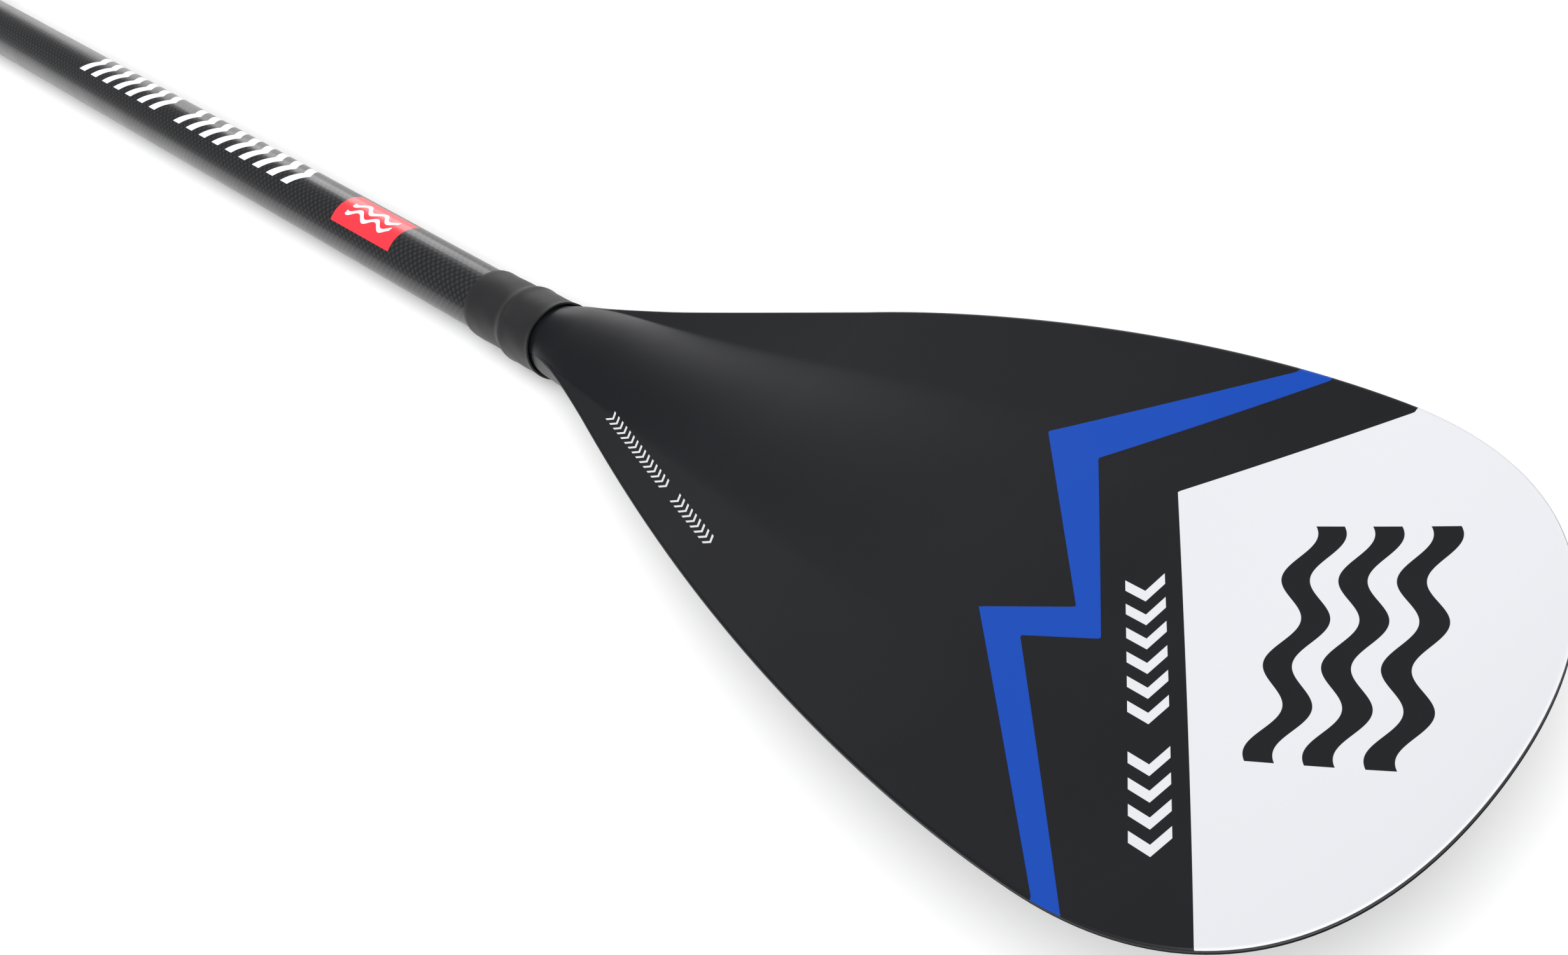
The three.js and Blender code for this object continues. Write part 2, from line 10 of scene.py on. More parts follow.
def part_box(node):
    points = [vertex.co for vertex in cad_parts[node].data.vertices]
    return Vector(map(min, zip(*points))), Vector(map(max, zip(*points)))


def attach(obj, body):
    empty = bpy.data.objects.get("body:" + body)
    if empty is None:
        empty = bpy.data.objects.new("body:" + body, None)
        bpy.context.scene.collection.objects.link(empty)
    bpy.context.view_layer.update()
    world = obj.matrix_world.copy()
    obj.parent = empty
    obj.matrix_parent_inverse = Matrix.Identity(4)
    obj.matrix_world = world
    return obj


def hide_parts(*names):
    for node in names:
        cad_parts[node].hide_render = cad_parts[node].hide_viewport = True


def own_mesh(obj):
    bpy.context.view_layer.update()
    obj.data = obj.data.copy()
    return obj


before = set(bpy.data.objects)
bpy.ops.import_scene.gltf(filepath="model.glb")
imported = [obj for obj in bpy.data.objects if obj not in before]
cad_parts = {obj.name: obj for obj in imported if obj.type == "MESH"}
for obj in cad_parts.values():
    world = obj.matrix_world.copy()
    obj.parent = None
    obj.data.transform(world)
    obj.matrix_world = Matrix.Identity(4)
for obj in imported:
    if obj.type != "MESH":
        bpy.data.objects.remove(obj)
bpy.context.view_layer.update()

bl_info = {
    "name": "Single blade paddle",
    "version": (1, 0, 0),
    "blender": (4, 5, 0),
    "location": "3D View > Sidebar > Paddle",
    "description": "Builds the looks of a three-piece stand-up paddle around its frame",
    "category": "Add Mesh",
}

MM = 0.001

# Pieces are modelled in millimetres in the shaft's own frame: x = 0 at the blade-side end of the neck
# collar, +X towards the blade tip, z = 0 on the shaft's centre line.
NECK_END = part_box("neck_collar")[1].x
SHAFT_LOW, SHAFT_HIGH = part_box("lower_shaft")
AXIS_HEIGHT = (SHAFT_LOW.z + SHAFT_HIGH.z) / 2
SHAFT_FRAME = Matrix.Translation((NECK_END, 0, AXIS_HEIGHT)) @ Matrix.Scale(MM, 4)


def span(node):
    """The lowest and highest x of a CAD node, in shaft millimetres."""
    low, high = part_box(node)
    return (low.x - NECK_END) / MM, (high.x - NECK_END) / MM


def smooth(low, high, value):
    """0 below low, 1 above high, and an S-curve between."""
    part = min(max((value - low) / (high - low), 0), 1)
    return part * part * (3 - 2 * part)


# ---- Settings ----
def length_setting(name, description, default, precision=4):
    """A length in metres."""
    return FloatProperty(
        name=name, description=description, default=default, unit="LENGTH", precision=precision,
    )


def colour_setting(name, description, default):
    """An sRGB colour as a hex value."""
    return StringProperty(name=name, description=description, default=default)


class BladeSettings(bpy.types.PropertyGroup):
    """Sizes and colours of the blade."""

    length: length_setting(
        "Length", "From the neck collar to the tip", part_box("blade_edge_rail")[1].x - NECK_END,
    )
    width: length_setting("Width", "Across the widest part", 2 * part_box("blade_edge_rail")[1].y)
    face_hollow: length_setting("Face hollow", "Fall of the middle of the face below its edges", 6 * MM)
    back_hollow: length_setting(
        "Back hollow", "Fall of the middle of the back below its edges", 7.5 * MM,
    )
    spine_rise: length_setting(
        "Spine rise", "Rise of the face's spine where it leaves the neck", 4.2 * MM,
    )
    edge_thickness: length_setting("Edge thickness", "Thickness of the blade along its edge", 3.2 * MM)
    skin: length_setting("Skin", "Thickness of each laminate skin", 0.7 * MM)
    laminate: colour_setting("Laminate", "Pigmented gel coat", "#0a0b10")
    band: colour_setting("Band", "Printed zigzag band", "#0040a4")
    end: colour_setting("End", "Printed end of the blade and its bars", "#d1d2d6")


class ShaftSettings(bpy.types.PropertyGroup):
    """Sizes and colours of the tubes."""

    radius: length_setting(
        "Radius", "Outer radius of both shaft sections", (SHAFT_HIGH.z - SHAFT_LOW.z) / 2,
    )
    bore: length_setting("Bore", "Inner radius of both shaft sections", 13.2 * MM)
    inner_radius: length_setting(
        "Inner tube radius", "Outer radius of the ferrule and of the extension", 12.9 * MM,
    )
    inner_bore: length_setting(
        "Inner tube bore", "Inner radius of the ferrule and of the extension", 11.4 * MM,
    )
    tows: IntProperty(
        name="Tows", description="Carbon tows round the shaft, an even number",
        default=48, min=8, step=2,
    )
    # painted light: one carbon fibre, with the lengthways tow's colour a painted highlight and the
    # crossing tow's colour painted shade
    painted_lit_tow: colour_setting("Lengthways tow", "Tow that catches the light", "#2b2c2f")
    painted_shaded_tow: colour_setting("Crossing tow", "Tow turned from the light", "#121214")
    decal: colour_setting("Decal", "Red sticker by the collar", "#f5323f")


class FittingSettings(bpy.types.PropertyGroup):
    """Sizes and colours of the collars, the joint, the clamp and the grip."""

    collar_wall: length_setting("Collar wall", "Thickness of the shrunk sleeve", 1.1 * MM)
    collar_ridge: length_setting(
        "Collar ridge", "Rise where the sleeve steps over the end of the neck", 0.45 * MM, 5,
    )
    grip_half_length: length_setting(
        "Grip half length", "From the middle of the grip's bar to its end",
        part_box("grip_lower_shell")[1].y,
    )
    sleeve: colour_setting("Sleeve", "Shrink tubing", "#100e11")
    nylon: colour_setting("Nylon", "Moulded nylon", "#161618")
    grip: colour_setting("Grip", "Moulded grip", "#1b1b1e")
    steel: colour_setting("Steel", "Stainless steel", "#c3c5c8")


class StudioSettings(bpy.types.PropertyGroup):
    """Camera, floor and lights."""

    camera: FloatVectorProperty(
        name="Camera", description="Camera's place from the end of the collar",
        default=(0.65006, -0.20593, 0.55769), subtype="TRANSLATION", precision=5,
    )
    aim: FloatVectorProperty(
        name="Aim", description="Point at the middle of the view, from the end of the collar",
        default=(0.17266, -0.0137, 0.027), subtype="TRANSLATION", precision=5,
    )
    roll: FloatProperty(
        name="Roll", description="Lean of the camera", default=radians(-31.19), subtype="ANGLE",
    )
    lens: FloatProperty(
        name="Lens", description="Focal length in millimetres on a 36 mm frame", default=46.75,
    )
    floor: colour_setting("Floor", "Pale floor", "#f6f6f6")
    sky: FloatProperty(name="Sky", description="Strength of the even light", default=0.2)
    key: FloatProperty(name="Key", description="Strength of the broad high light", default=4)
    side: FloatProperty(name="Side", description="Strength of the low light", default=0.6)


def settings(group):
    """One of the scene's setting groups."""
    return getattr(bpy.context.scene, "paddle_" + group)


# ---- Materials ----
def linear(colour):
    """Linear RGBA from an sRGB hex colour."""
    parts = [int(colour[i:i + 2], 16) / 255 for i in (1, 3, 5)]
    return [c / 12.92 if c <= 0.04045 else ((c + 0.055) / 1.055) ** 2.4 for c in parts] + [1]


def add_node(tree, kind, inputs=(), output=0, **values):
    """Adds a node, sets its properties, feeds its inputs numbers or sockets and returns one output."""
    made = tree.nodes.new("ShaderNode" + kind)
    for name, value in values.items():
        setattr(made, name, value)
    for key, value in inputs.items() if isinstance(inputs, dict) else enumerate(inputs):
        if isinstance(value, bpy.types.NodeSocket):
            tree.links.new(value, made.inputs[key])
        elif value is not None:
            made.inputs[key].default_value = value
    return made.outputs[output] if made.outputs else made


def new_material(name, **sockets):
    """A material with one Principled shader and some of its sockets set."""
    material = bpy.data.materials.new(name)
    material.use_nodes = True
    tree = material.node_tree
    tree.nodes.clear()
    shader = add_node(tree, "BsdfPrincipled")
    add_node(tree, "OutputMaterial", [shader])
    for key, value in sockets.items():
        shader.node.inputs[key.replace("_", " ").title().replace("Ior", "IOR")].default_value = value
    return material, tree, shader.node


def shaft_coordinates(tree):
    """Object coordinates in shaft millimetres, as x, y and z."""
    place = add_node(tree, "TexCoord", output="Object")
    shift = (-NECK_END / MM, 0, -AXIS_HEIGHT / MM)
    scaled = add_node(tree, "Mapping", {0: place, 1: shift, 3: [1 / MM] * 3})
    return scaled, add_node(tree, "SeparateXYZ", [scaled]).node.outputs


def surface(tree, shader, base, noise, smoothest, roughest, height=None, strength=0, depth=0):
    """Feeds the shader a colour, a roughness that follows a noise, and a bump of a depth in mm."""
    rough = add_node(tree, "MapRange", {0: noise, 3: smoothest, 4: roughest})
    tree.links.new(base, shader.inputs["Base Color"])
    tree.links.new(rough, shader.inputs["Roughness"])
    if height is not None:
        values = {"Strength": strength, "Distance": depth * MM, "Height": height}
        bump = add_node(tree, "Bump", values)
        tree.links.new(bump, shader.inputs["Normal"])


PRINT_EDGE = 0.06  # half the softness of a printed edge


def past_line(tree, x, y, corners):
    """1 where x lies past a zigzag line given by its corners, which run from low y to high y."""
    low_y, high_y, low_x, reach = -100, 100, 200, 300
    ramp = add_node(tree, "MapRange", {0: y, 1: low_y, 2: high_y})
    line = add_node(tree, "ValToRGB", [ramp])
    stops = line.node.color_ramp
    while len(stops.elements) < len(corners):
        stops.elements.new(0.5)
    for stop, (corner_x, corner_y) in zip(stops.elements, corners):
        stop.position = (corner_y - low_y) / (high_y - low_y)
        level = (corner_x - low_x) / reach
        stop.color = (level, level, level, 1)
    line_x = add_node(tree, "Math", [line, reach, low_x], operation="MULTIPLY_ADD")
    past = add_node(tree, "Math", [x, line_x], operation="SUBTRACT")
    return add_node(tree, "MapRange", {0: past, 1: -PRINT_EDGE, 2: PRINT_EDGE})


def within(tree, value, low, high):
    """1 where value lies between low and high."""
    middle, half = (low + high) / 2, abs(high - low) / 2
    away = add_node(tree, "Math", [value, middle], operation="SUBTRACT")
    away = add_node(tree, "Math", [away], operation="ABSOLUTE")
    limits = {1: half - PRINT_EDGE, 2: half + PRINT_EDGE, 3: 1, 4: 0}
    return add_node(tree, "MapRange", {0: away, **limits})


def all_of(tree, *masks):
    """The product of masks."""
    product = masks[0]
    for mask in masks[1:]:
        product = add_node(tree, "Math", [product, mask], operation="MULTIPLY")
    return product


def any_of(tree, *masks):
    """The largest of masks."""
    largest = masks[0]
    for mask in masks[1:]:
        largest = add_node(tree, "Math", [largest, mask], operation="MAXIMUM")
    return largest


def outside(tree, mask):
    """1 where a mask is 0."""
    return add_node(tree, "Math", [1, mask], operation="SUBTRACT")


def rippled(tree, along, across, pitch, swing):
    """Height across a row, measured from a line that swings from side to side."""
    turn = add_node(tree, "Math", [along, 2 * pi / pitch], operation="MULTIPLY")
    sine = add_node(tree, "Math", [turn], operation="SINE")
    return add_node(tree, "Math", [sine, swing, across], operation="MULTIPLY_ADD")


def chevrons(tree, along, across, pitch, width, low, high, *runs):
    """Runs of arrow-shaped bars between two heights across a row; a run is whole pitches long."""
    middle, half = (low + high) / 2, (high - low) / 2
    away = add_node(tree, "Math", [across, middle], operation="SUBTRACT")
    away = add_node(tree, "Math", [away], operation="ABSOLUTE")
    bent = add_node(tree, "Math", [away, pitch / half * 0.6, along], operation="MULTIPLY_ADD")
    phase = add_node(tree, "Math", [bent, pitch], operation="FLOORED_MODULO")
    shown = any_of(tree, *[within(tree, bent, start, end) for start, end in runs])
    return all_of(tree, shown, within(tree, phase, 0.1, 0.1 + width), within(tree, across, low, high))


def turned_axes(tree, place, origin, degrees):
    """Coordinates along and across a row that starts at origin and runs at an angle to the shaft."""
    values = {0: place, 1: (*origin, 0), 2: (0, 0, radians(degrees))}
    row = add_node(tree, "Mapping", values, vector_type="TEXTURE")
    return add_node(tree, "SeparateXYZ", [row]).node.outputs


def mix_colour(tree, mask, under, over):
    """A colour laid over another by a mask."""
    return add_node(tree, "Mix", {0: mask, 6: under, 7: over}, output=2, data_type="RGBA")


# corners of the printed lines, as (x, y)
BAND_OUTER = [(373.2, -96.4), (287.7, -25.7), (316.7, -10.4), (261.2, 41.2), (327, 94.2)]
BAND_INNER = [(384, -96.1), (307.6, -27.6), (331.6, -16), (285.2, 39.5), (338.8, 95.2)]
WHITE_LINE = [(430.9, -95.3), (318.5, 40), (369.7, 95.2)]
# degrees from the shaft's direction to each row of the print
BARS_ANGLE = -50.3
WAVE_ANGLE = -64.5
DASHES_ANGLE = -15.4


def laminate_material(name, printed):
    """Fibre laminate under pigmented satin gel coat: nearly black, with a broad soft sheen."""
    blade = settings("blade")
    material, tree, shader = new_material(name, ior=1.45, specular_ior_level=0.4)
    place, (x, y, _) = shaft_coordinates(tree)
    # polishing clouds of 80 mm, orange peel of 1 mm and a speck of dust each 11 mm
    cloud = add_node(tree, "TexNoise", {0: place, 2: 0.012, 3: 4, 4: 0.6})
    grain = add_node(tree, "TexNoise", {0: place, 2: 0.9, 3: 3, 4: 0.5})
    dust = add_node(tree, "TexVoronoi", {0: place, 2: 0.09}, feature="F1")
    base = mix_colour(tree, cloud, linear(blade.laminate), linear("#0f1016"))
    speck = add_node(tree, "MapRange", {0: dust, 1: 0.022, 2: 0.012})
    base = mix_colour(tree, all_of(tree, speck, cloud), base, linear("#303135"))
    height = add_node(tree, "Math", [grain, 0.02], operation="MULTIPLY")
    if printed:
        inside = add_node(tree, "Attribute", output="Fac", attribute_name="edge_distance")
        top = add_node(tree, "MapRange", {0: inside, 1: 0.1, 2: 0.25})
        beyond = outside(tree, past_line(tree, x, y, BAND_INNER))
        blue = all_of(tree, top, past_line(tree, x, y, BAND_OUTER), beyond)
        wave_along, wave_across, _ = turned_axes(tree, place, (400, 19), WAVE_ANGLE)
        level = rippled(tree, wave_along, wave_across, 30, 4.2)
        waves = any_of(tree, *[within(tree, level, line - 4.3, line + 4.3) for line in (-17, 0, 17)])
        waves = all_of(tree, waves, within(tree, wave_along, -41, 41))
        white = all_of(tree, top, past_line(tree, x, y, WHITE_LINE), outside(tree, waves))
        row, off, _ = turned_axes(tree, place, (318.5, 40), BARS_ANGLE)
        bars = chevrons(tree, row, off, 9, 4, -17.8, -5.3, (36, 90), (99, 135))
        row, off, _ = turned_axes(tree, place, (77, -24.5), DASHES_ANGLE)
        dashes = chevrons(tree, row, off, 4, 1.4, -2.3, 2.3, (0, 60), (68, 104))
        pale = any_of(tree, white, bars, dashes)
        base = mix_colour(tree, blue, base, linear(blade.band))
        base = mix_colour(tree, pale, base, linear(blade.end))
        ink = any_of(tree, pale, blue)
        height = add_node(tree, "Math", [ink, 0.03, height], operation="MULTIPLY_ADD")
    surface(tree, shader, base, cloud, 0.4, 0.5, height, 0.35, 1)
    return material


def weave(tree, x, around, tows, radius):
    """Plain weave: 1 where the upper tow runs lengthways, and its height; around counts whole turns."""
    along = add_node(tree, "Math", [x, 2 * pi * radius / tows], operation="DIVIDE")
    over = add_node(tree, "Math", [around, tows], operation="MULTIPLY")
    cells = [add_node(tree, "Math", [count], operation="FLOOR") for count in (along, over)]
    steps = add_node(tree, "Math", cells, operation="ADD")
    lengthways = add_node(tree, "Math", [steps, 2], operation="FLOORED_MODULO")
    waves = []
    for count in (along, over):
        part = add_node(tree, "Math", [count, pi], operation="MULTIPLY")
        part = add_node(tree, "Math", [part], operation="SINE")
        waves.append(add_node(tree, "Math", [part], operation="ABSOLUTE"))
    return lengthways, add_node(tree, "Math", waves, operation="MULTIPLY")


def carbon_material(name, radius, graphics=None):
    """Woven carbon tube under clear coat: dark tows with painted light and shade, the lengthways tows
    painted lighter as a painted highlight, the crossing tows painted darker as painted shade, and
    painted shade in the dips between tows, below a soft gloss.
    """
    shaft = settings("shaft")
    material, tree, shader = new_material(name, ior=1.5, coat_weight=0.3, coat_roughness=0.2)
    place, (x, y, z) = shaft_coordinates(tree)
    turn = add_node(tree, "Math", [z, y], operation="ARCTAN2")
    around = add_node(tree, "Math", [turn, 1 / (2 * pi), 1], operation="MULTIPLY_ADD")
    lengthways, crown = weave(tree, x, around, shaft.tows, radius)
    # painted light: lengthways tows take the painted highlight colour, crossing tows the painted shade
    # colour
    tone = mix_colour(tree, lengthways, linear(shaft.painted_shaded_tow), linear(shaft.painted_lit_tow))
    # painted shade: near black in the dips between tows, where the weave's bump is lowest
    edge = add_node(tree, "MapRange", {0: crown, 1: 0, 2: 0.5, 3: 0.3, 4: 1})
    tone = mix_colour(tree, edge, linear("#0a0a0b"), tone)
    blotch = add_node(tree, "TexNoise", {0: place, 2: 0.05, 3: 3, 4: 0.5})  # 20 mm resin clouds
    if graphics == "print":
        degrees = add_node(tree, "Math", [turn, 180 / pi], operation="MULTIPLY")
        arc = add_node(tree, "Math", [turn, radius], operation="MULTIPLY")
        low, high = radians(25) * radius, radians(104) * radius
        bars = chevrons(tree, x, arc, 14, 6.5, low, high, (-434, -336), (-322, -196))
        red = all_of(tree, within(tree, x, -166.5, -116), within(tree, degrees, 38, 122))
        level = rippled(tree, x, arc, 14, 1.8)
        wave = all_of(
            tree, within(tree, x, -159, -124),
            any_of(tree, within(tree, level, 15.8, 18.2), within(tree, level, 21.2, 23.6)),
        )
        tone = mix_colour(tree, red, tone, linear(shaft.decal))
        tone = mix_colour(tree, any_of(tree, bars, wave), tone, linear("#f4f5f8"))
    if graphics == "scale":
        marks = []
        for pitch, reach in ((10, 4.5), (50, 8)):
            phase = add_node(tree, "Math", [x, pitch], operation="FLOORED_MODULO")
            marks.append(all_of(tree, within(tree, phase, 0.2, 1.1), within(tree, y, -reach, reach)))
        upper = add_node(tree, "Math", [z, 0], operation="GREATER_THAN")
        shown = all_of(tree, any_of(tree, *marks), upper, within(tree, x, -1190, -770))
        tone = mix_colour(tree, shown, tone, linear("#e9eaee"))
    surface(tree, shader, tone, blotch, 0.34, 0.48, crown, 0.25, 0.1)
    return material


def sleeve_material(name):
    """Polyolefin shrink tubing: matt brown-black, with a soft bloom and a fine drawn texture."""
    material, tree, shader = new_material(name, ior=1.5, sheen_weight=0.04, sheen_roughness=0.5)
    place, _ = shaft_coordinates(tree)
    drawn = add_node(tree, "Mapping", {0: place, 3: (0.25, 1, 1)})
    fine = add_node(tree, "TexNoise", {0: drawn, 2: 1.1, 3: 4, 4: 0.6})  # 1 mm drawn grain
    broad = add_node(tree, "TexNoise", {0: place, 2: 0.08, 3: 2, 4: 0.5})  # 12 mm heat marks
    base = mix_colour(tree, broad, linear(settings("fitting").sleeve), linear("#171518"))
    height = add_node(tree, "Math", [fine, 0.05], operation="MULTIPLY")
    height = add_node(tree, "Math", [broad, 0.35, height], operation="MULTIPLY_ADD")
    surface(tree, shader, base, broad, 0.52, 0.68, height, 0.5, 1)
    return material


def moulded_material(name, colour, roughness, grit):
    """Moulded plastic from a spark-eroded tool: an even fine grit and slightly cloudy sheen."""
    material, tree, shader = new_material(name, ior=1.53)
    place, _ = shaft_coordinates(tree)
    pits = add_node(tree, "TexNoise", {0: place, 2: 1 / grit, 3: 3, 4: 0.55})
    broad = add_node(tree, "TexNoise", {0: place, 2: 0.06, 3: 2, 4: 0.5})
    deep = linear(colour)
    pale = [min(1, part * 1.35 + 0.002) for part in deep[:3]] + [1]
    base = mix_colour(tree, broad, deep, pale)
    surface(tree, shader, base, broad, roughness - 0.05, roughness + 0.07, pits, 0.45, 0.12)
    return material


def steel_material(name):
    """Stainless steel, tumbled: a grey metal with fine short scratches."""
    material, tree, shader = new_material(name, metallic=1.0)
    place, _ = shaft_coordinates(tree)
    stretched = add_node(tree, "Mapping", {0: place, 3: (0.3, 2, 2)})
    scratch = add_node(tree, "TexNoise", {0: stretched, 2: 2.5, 3: 4, 4: 0.6})  # 0.4 mm scratches
    base = mix_colour(tree, scratch, linear(settings("fitting").steel), linear("#a9abaf"))
    surface(tree, shader, base, scratch, 0.18, 0.38, scratch, 0.2, 0.05)
    return material


def foam_material(name):
    """Closed-cell core foam: cream, dull, with cut cells about a millimetre across."""
    material, tree, shader = new_material(name, ior=1.45)
    place, _ = shaft_coordinates(tree)
    cells = add_node(tree, "TexVoronoi", {0: place, 2: 1.0}, feature="F1")
    base = mix_colour(tree, cells, linear("#c9bf98"), linear("#e8e0c2"))
    surface(tree, shader, base, cells, 0.8, 0.95, cells, 0.6, 0.4)
    return material


def floor_material(name):
    """Matt emulsion on a smooth board: pale and nearly even."""
    material, tree, shader = new_material(name, ior=1.45)
    place = add_node(tree, "TexCoord", output="Object")
    cloud = add_node(tree, "TexNoise", {0: place, 2: 2, 3: 3, 4: 0.5})
    base = mix_colour(tree, cloud, linear(settings("studio").floor), linear("#f9f9f9"))
    surface(tree, shader, base, cloud, 0.8, 0.9)
    return material


def kept(name, make, *arguments):
    """A material by name, made the first time that it is asked for."""
    return bpy.data.materials.get(name) or make(name, *arguments)


def nylon_material():
    """Moulded nylon of the small inner parts and rings."""
    return kept("moulded_nylon", moulded_material, settings("fitting").nylon, 0.5, 0.5)


# ---- Mesh tools ----
def piece_from(bm, name, body, node, material, crease=38):
    """Finishes a bmesh in shaft millimetres as a piece that rides on a body and replaces a CAD node."""
    bmesh.ops.remove_doubles(bm, verts=bm.verts, dist=1e-4)
    bmesh.ops.recalc_face_normals(bm, faces=bm.faces)
    bmesh.ops.transform(bm, matrix=SHAFT_FRAME, verts=bm.verts)
    mesh = bpy.data.meshes.new(name)
    bm.to_mesh(mesh)
    bm.free()
    mesh.materials.append(material)
    mesh.shade_smooth()
    mesh.set_sharp_from_angle(angle=radians(crease))
    piece = bpy.data.objects.new(name, mesh)
    bpy.context.scene.collection.objects.link(piece)
    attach(piece, body)
    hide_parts(node)
    return piece


def round_corners(bm, corners, size, steps=4):
    """Rounds the corners of a flat outline."""
    bmesh.ops.bevel(
        bm, geom=corners, offset=size, offset_type="OFFSET", affect="VERTICES",
        segments=steps, profile=0.5, material=-1, clamp_overlap=True,
    )


def lathed(profile, corner=0.25, segments=96):
    """A solid turned about the shaft's axis from (x, radius) corners."""
    bm = bmesh.new()
    verts = [bm.verts.new((along, 0, radius)) for along, radius in profile]
    closed = profile[0][1] > 0
    for start, end in zip(verts, verts[1:] + verts[:1] if closed else verts[1:]):
        bm.edges.new((start, end))
    if corner:
        round_corners(bm, [vert for vert in verts if vert.co.z > 0.01], corner)
    bmesh.ops.spin(
        bm, geom=bm.verts[:] + bm.edges[:], cent=(0, 0, 0), axis=(1, 0, 0),
        angle=2 * pi, steps=segments, use_merge=True,
    )
    bmesh.ops.remove_doubles(bm, verts=bm.verts, dist=1e-4)
    bmesh.ops.recalc_face_normals(bm, faces=bm.faces)
    return bm


def bar(start, end, radius):
    """Corners of a solid bar, to be turned."""
    return [(start, 0), (start, radius), (end, radius), (end, 0)]


def pipe(start, end, outer, inner):
    """Corners of a tube, to be turned."""
    return [(start, inner), (start, outer), (end, outer), (end, inner)]


def turned(bm, axis, degrees):
    """The same bmesh, turned about an axis."""
    matrix = Matrix.Rotation(radians(degrees), 3, axis)
    bmesh.ops.rotate(bm, verts=bm.verts, cent=(0, 0, 0), matrix=matrix)
    return bm


def moved(bm, x=0, y=0, z=0):
    """The same bmesh, moved."""
    bmesh.ops.translate(bm, verts=bm.verts, vec=(x, y, z))
    return bm


def upright(profile, x, y=0, edge=0, segments=48):
    """A solid turned about an upright axis at (x, y), from (height, radius) corners."""
    return moved(turned(lathed(profile, edge, segments), "Y", -90), x, y)


def block(x, y, z, edge=0):
    """A box between three pairs of limits, with rounded edges."""
    bm = bmesh.new()
    bmesh.ops.create_cube(bm, size=1)
    bmesh.ops.scale(bm, verts=bm.verts, vec=(x[1] - x[0], y[1] - y[0], z[1] - z[0]))
    moved(bm, sum(x) / 2, sum(y) / 2, sum(z) / 2)
    if edge:
        bmesh.ops.bevel(
            bm, geom=bm.edges[:], offset=edge, affect="EDGES", segments=3, profile=0.5, material=-1,
        )
    return bm


def plate(outline, x0, x1, corner=0, rim=0):
    """A plate with an outline drawn across the shaft, in (y, z), from x0 to x1."""
    bm = bmesh.new()
    bm.faces.new([bm.verts.new((x0, y, z)) for y, z in outline])
    if corner:
        round_corners(bm, bm.verts[:], corner, 6)
    pushed = bmesh.ops.extrude_face_region(bm, geom=bm.faces[:])["geom"]
    far_end = [part for part in pushed if isinstance(part, bmesh.types.BMVert)]
    bmesh.ops.translate(bm, verts=far_end, vec=(x1 - x0, 0, 0))
    bmesh.ops.recalc_face_normals(bm, faces=bm.faces)
    if rim:
        ends = [e for e in bm.edges if abs(e.verts[0].co.x - e.verts[1].co.x) < 1e-5]
        bmesh.ops.bevel(bm, geom=ends, offset=rim, affect="EDGES", segments=3, profile=0.5, material=-1)
    return bm


def as_object(bm):
    """A throwaway object with a bmesh's shape."""
    mesh = bpy.data.meshes.new("work")
    bm.to_mesh(mesh)
    bm.free()
    made = bpy.data.objects.new("work", mesh)
    bpy.context.scene.collection.objects.link(made)
    return made


def shaped(bm, steps):
    """A bmesh after some modifiers, each given as (type, its settings); a boolean's tool is a bmesh."""
    work = as_object(bm)
    tools = []
    for kind, values in steps:
        modifier = work.modifiers.new(kind, kind)
        for name, value in values.items():
            if name == "object":
                value = as_object(value)
                tools.append(value)
            setattr(modifier, name, value)
    result = bmesh.new()
    result.from_object(work, bpy.context.evaluated_depsgraph_get())
    for used in [work, *tools]:
        mesh = used.data
        bpy.data.objects.remove(used)
        bpy.data.meshes.remove(mesh)
    return result


def cut(tool):
    """The boolean step that takes a tool away."""
    return "BOOLEAN", {"object": tool, "operation": "DIFFERENCE", "solver": "EXACT"}


def joined(tool):
    """The boolean step that adds a solid."""
    return "BOOLEAN", {"object": tool, "operation": "UNION", "solver": "EXACT"}


def edges_rounded(width, angle=40):
    """The step that rounds every edge sharper than an angle."""
    limit = radians(angle)
    return "BEVEL", {"width": width, "segments": 3, "limit_method": "ANGLE", "angle_limit": limit}


# ---- Blade ----
NECK_START = -22  # the neck's end inside the collar
NECK_ROWS = 6
NECK = 15.8
PARTING = 7  # height of the line where face and back meet on the round neck
PARTING_HALF = sqrt(NECK ** 2 - PARTING ** 2)
TRIM_START = 38
SEAM = 0.15  # half the gap between the skins where they meet round the edge


def bezier(curve, t):
    """Place and direction on a cubic curve."""
    a, b, c, d = (Vector(point) for point in curve)
    place = a * (1 - t) ** 3 + b * 3 * t * (1 - t) ** 2 + c * 3 * t * t * (1 - t) + d * t ** 3
    direction = (b - a) * (1 - t) ** 2 + (c - b) * 2 * t * (1 - t) + (d - c) * t * t
    return place, direction


def blade_outline():
    """The three curves of the blade's outline, as (x, half width) in shaft millimetres."""
    blade = settings("blade")
    tip = blade.length / MM
    half = blade.width / MM / 2
    return [
        [(0, PARTING_HALF), (16, 15.6), (34, 21), (62, 30.7)],
        [(62, 30.7), (122, 52.3), (255, half), (tip - 95, half)],
        [(tip - 95, half), (tip - 33, half), (tip, 62), (tip, 0)],
    ]


def blade_stations(rows):
    """(x, half width, half width times its slope) at each row of points from the neck to the tip."""
    stations = [(NECK_START * (1 - k / NECK_ROWS), PARTING_HALF, 0) for k in range(NECK_ROWS)]
    for curve, count in zip(blade_outline(), rows):
        for k in range(1 if len(stations) > NECK_ROWS else 0, count + 1):
            t = min(k / count, 0.99999)
            place, direction = bezier(curve, t)
            stations.append((place.x, place.y, place.y * direction.y / max(direction.x, 1e-9)))
    x, _, pull = stations[-1]
    stations[-1] = (x, 0, pull)
    return stations


